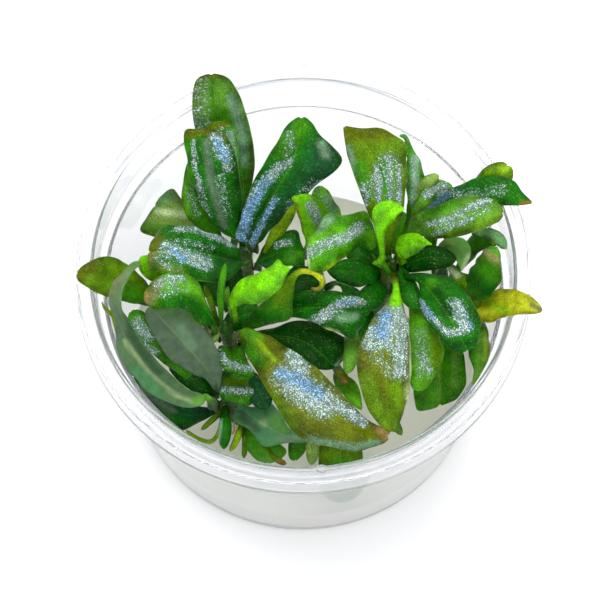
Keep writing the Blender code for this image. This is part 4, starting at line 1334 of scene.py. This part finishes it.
stems = {}
for name in [name for name in sorted(nodes) if name.startswith("stem_")]:
    foot, top = stem_ends(name)
    foot = foot + (foot - top).normalized() * STEM_SINK
    stems[name] = (foot, top)
    chance = random.Random(name)
    count = round((top - foot).length / SCAR_SPACING) * RINGS_PER_SCAR
    points = []
    radii = []
    for index in range(count + 1):
        share = index / count
        ring = abs(math.sin(index / RINGS_PER_SCAR * math.pi))
        sway = Vector((math.sin(share * 9 + foot.x / MM), math.cos(share * 7 + foot.y / MM), 0))
        points.append(foot.lerp(top, share) + sway * STEM_SWAY * MM)
        taper = 1 - 0.7 * soft(share, 0.88, 1)
        radii.append(STEM_RADIUS * (0.98 - 0.16 * ring ** 0.5 + chance.uniform(-0.02, 0.02)) * taper)
    stem = add_tube(name.replace("stem", "rhizome"), points, radii, 4)
    finish_piece(stem, [rhizome.material], [name])
print("stems:", {name: round((top - foot).length / MM) for name, (foot, top) in stems.items()})

# %% [markdown]
# ## The roots
# Thin roots leave the lower part of each rhizome and wander down into the gel, where they show
# as pale lines through the wall.

# %% Grow the roots
ROOTS_PER_STEM = 6
ROOT_RADIUS = 0.32 * MM
ROOT_POINTS = 16
GEL_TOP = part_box("nutrient_gel")[1].z
ROOT_FLOOR = 3 * MM
ROOT_LIMIT = 36 * MM

root_finish = Finish("root", Roughness=0.5)
fuzz = root_finish.noise(root_finish.place(), 0.7, 3)
root_finish.feed("Base Color", root_finish.mix(fuzz, linear(196, 186, 140), linear(150, 122, 78)))

chance = random.Random(7)
for name, (foot, top) in stems.items():
    for number in range(ROOTS_PER_STEM):
        heading = chance.uniform(0, math.tau)
        spot = foot.lerp(top, chance.uniform(0.1, 0.3))
        points = []
        for step in range(ROOT_POINTS):
            points.append(spot.copy())
            heading += chance.uniform(-0.5, 0.5)
            drop = 1.5 if spot.z > GEL_TOP else 0.5
            onward = Vector((math.cos(heading), math.sin(heading), -drop)).normalized()
            spot = spot + onward * ROOT_STEP * MM
            spot.z = max(spot.z, ROOT_FLOOR)
            flat = Vector((spot.x, spot.y, 0))
            if flat.length > ROOT_LIMIT:
                spot -= flat.normalized() * (flat.length - ROOT_LIMIT)
        smooth = [on_line(points, i / 2) for i in range(2 * ROOT_POINTS - 1)]
        radii = [ROOT_RADIUS * (1 - 0.6 * i / len(smooth)) for i in range(len(smooth))]
        root = add_tube(f"root_{name[5:]}_{number + 1}", smooth, radii, 1)
        finish_piece(root, [root_finish.material])
print("roots:", ROOTS_PER_STEM * len(stems))

# %% [markdown]
# ## The drop of water
# One drop clings to the inner edge of the rim at the front.

# %% Set the drop on the rim
DROP_WIDTH = 1.9 * MM
DROP_SPREAD = (1.3, 1, 0.55)
DROP_SEEN = (4, -46.8)
DROP_RISE = 0.1

water = Finish("water", Base_Color=(1, 1, 1, 1), Roughness=0.0, IOR=1.33)
water.shader.inputs["Transmission Weight"].default_value = 1
ripple = water.noise(water.place(), 2)
water.bump(ripple, 0.1, 0.1)
bpy.ops.object.select_all(action="DESELECT")
drop_place = sighted(*DROP_SEEN, RIM_HEIGHT + DROP_RISE)
bpy.ops.mesh.primitive_uv_sphere_add(segments=32, ring_count=16, radius=DROP_WIDTH / 2,
                                     location=drop_place)
drop = bpy.context.object
drop.name = "water_drop"
bpy.ops.transform.resize(value=DROP_SPREAD)
bpy.ops.object.transform_apply(location=True, rotation=True, scale=True)
finish_piece(drop, [water.material])
print("drop at", [round(part / MM, 1) for part in drop_place])
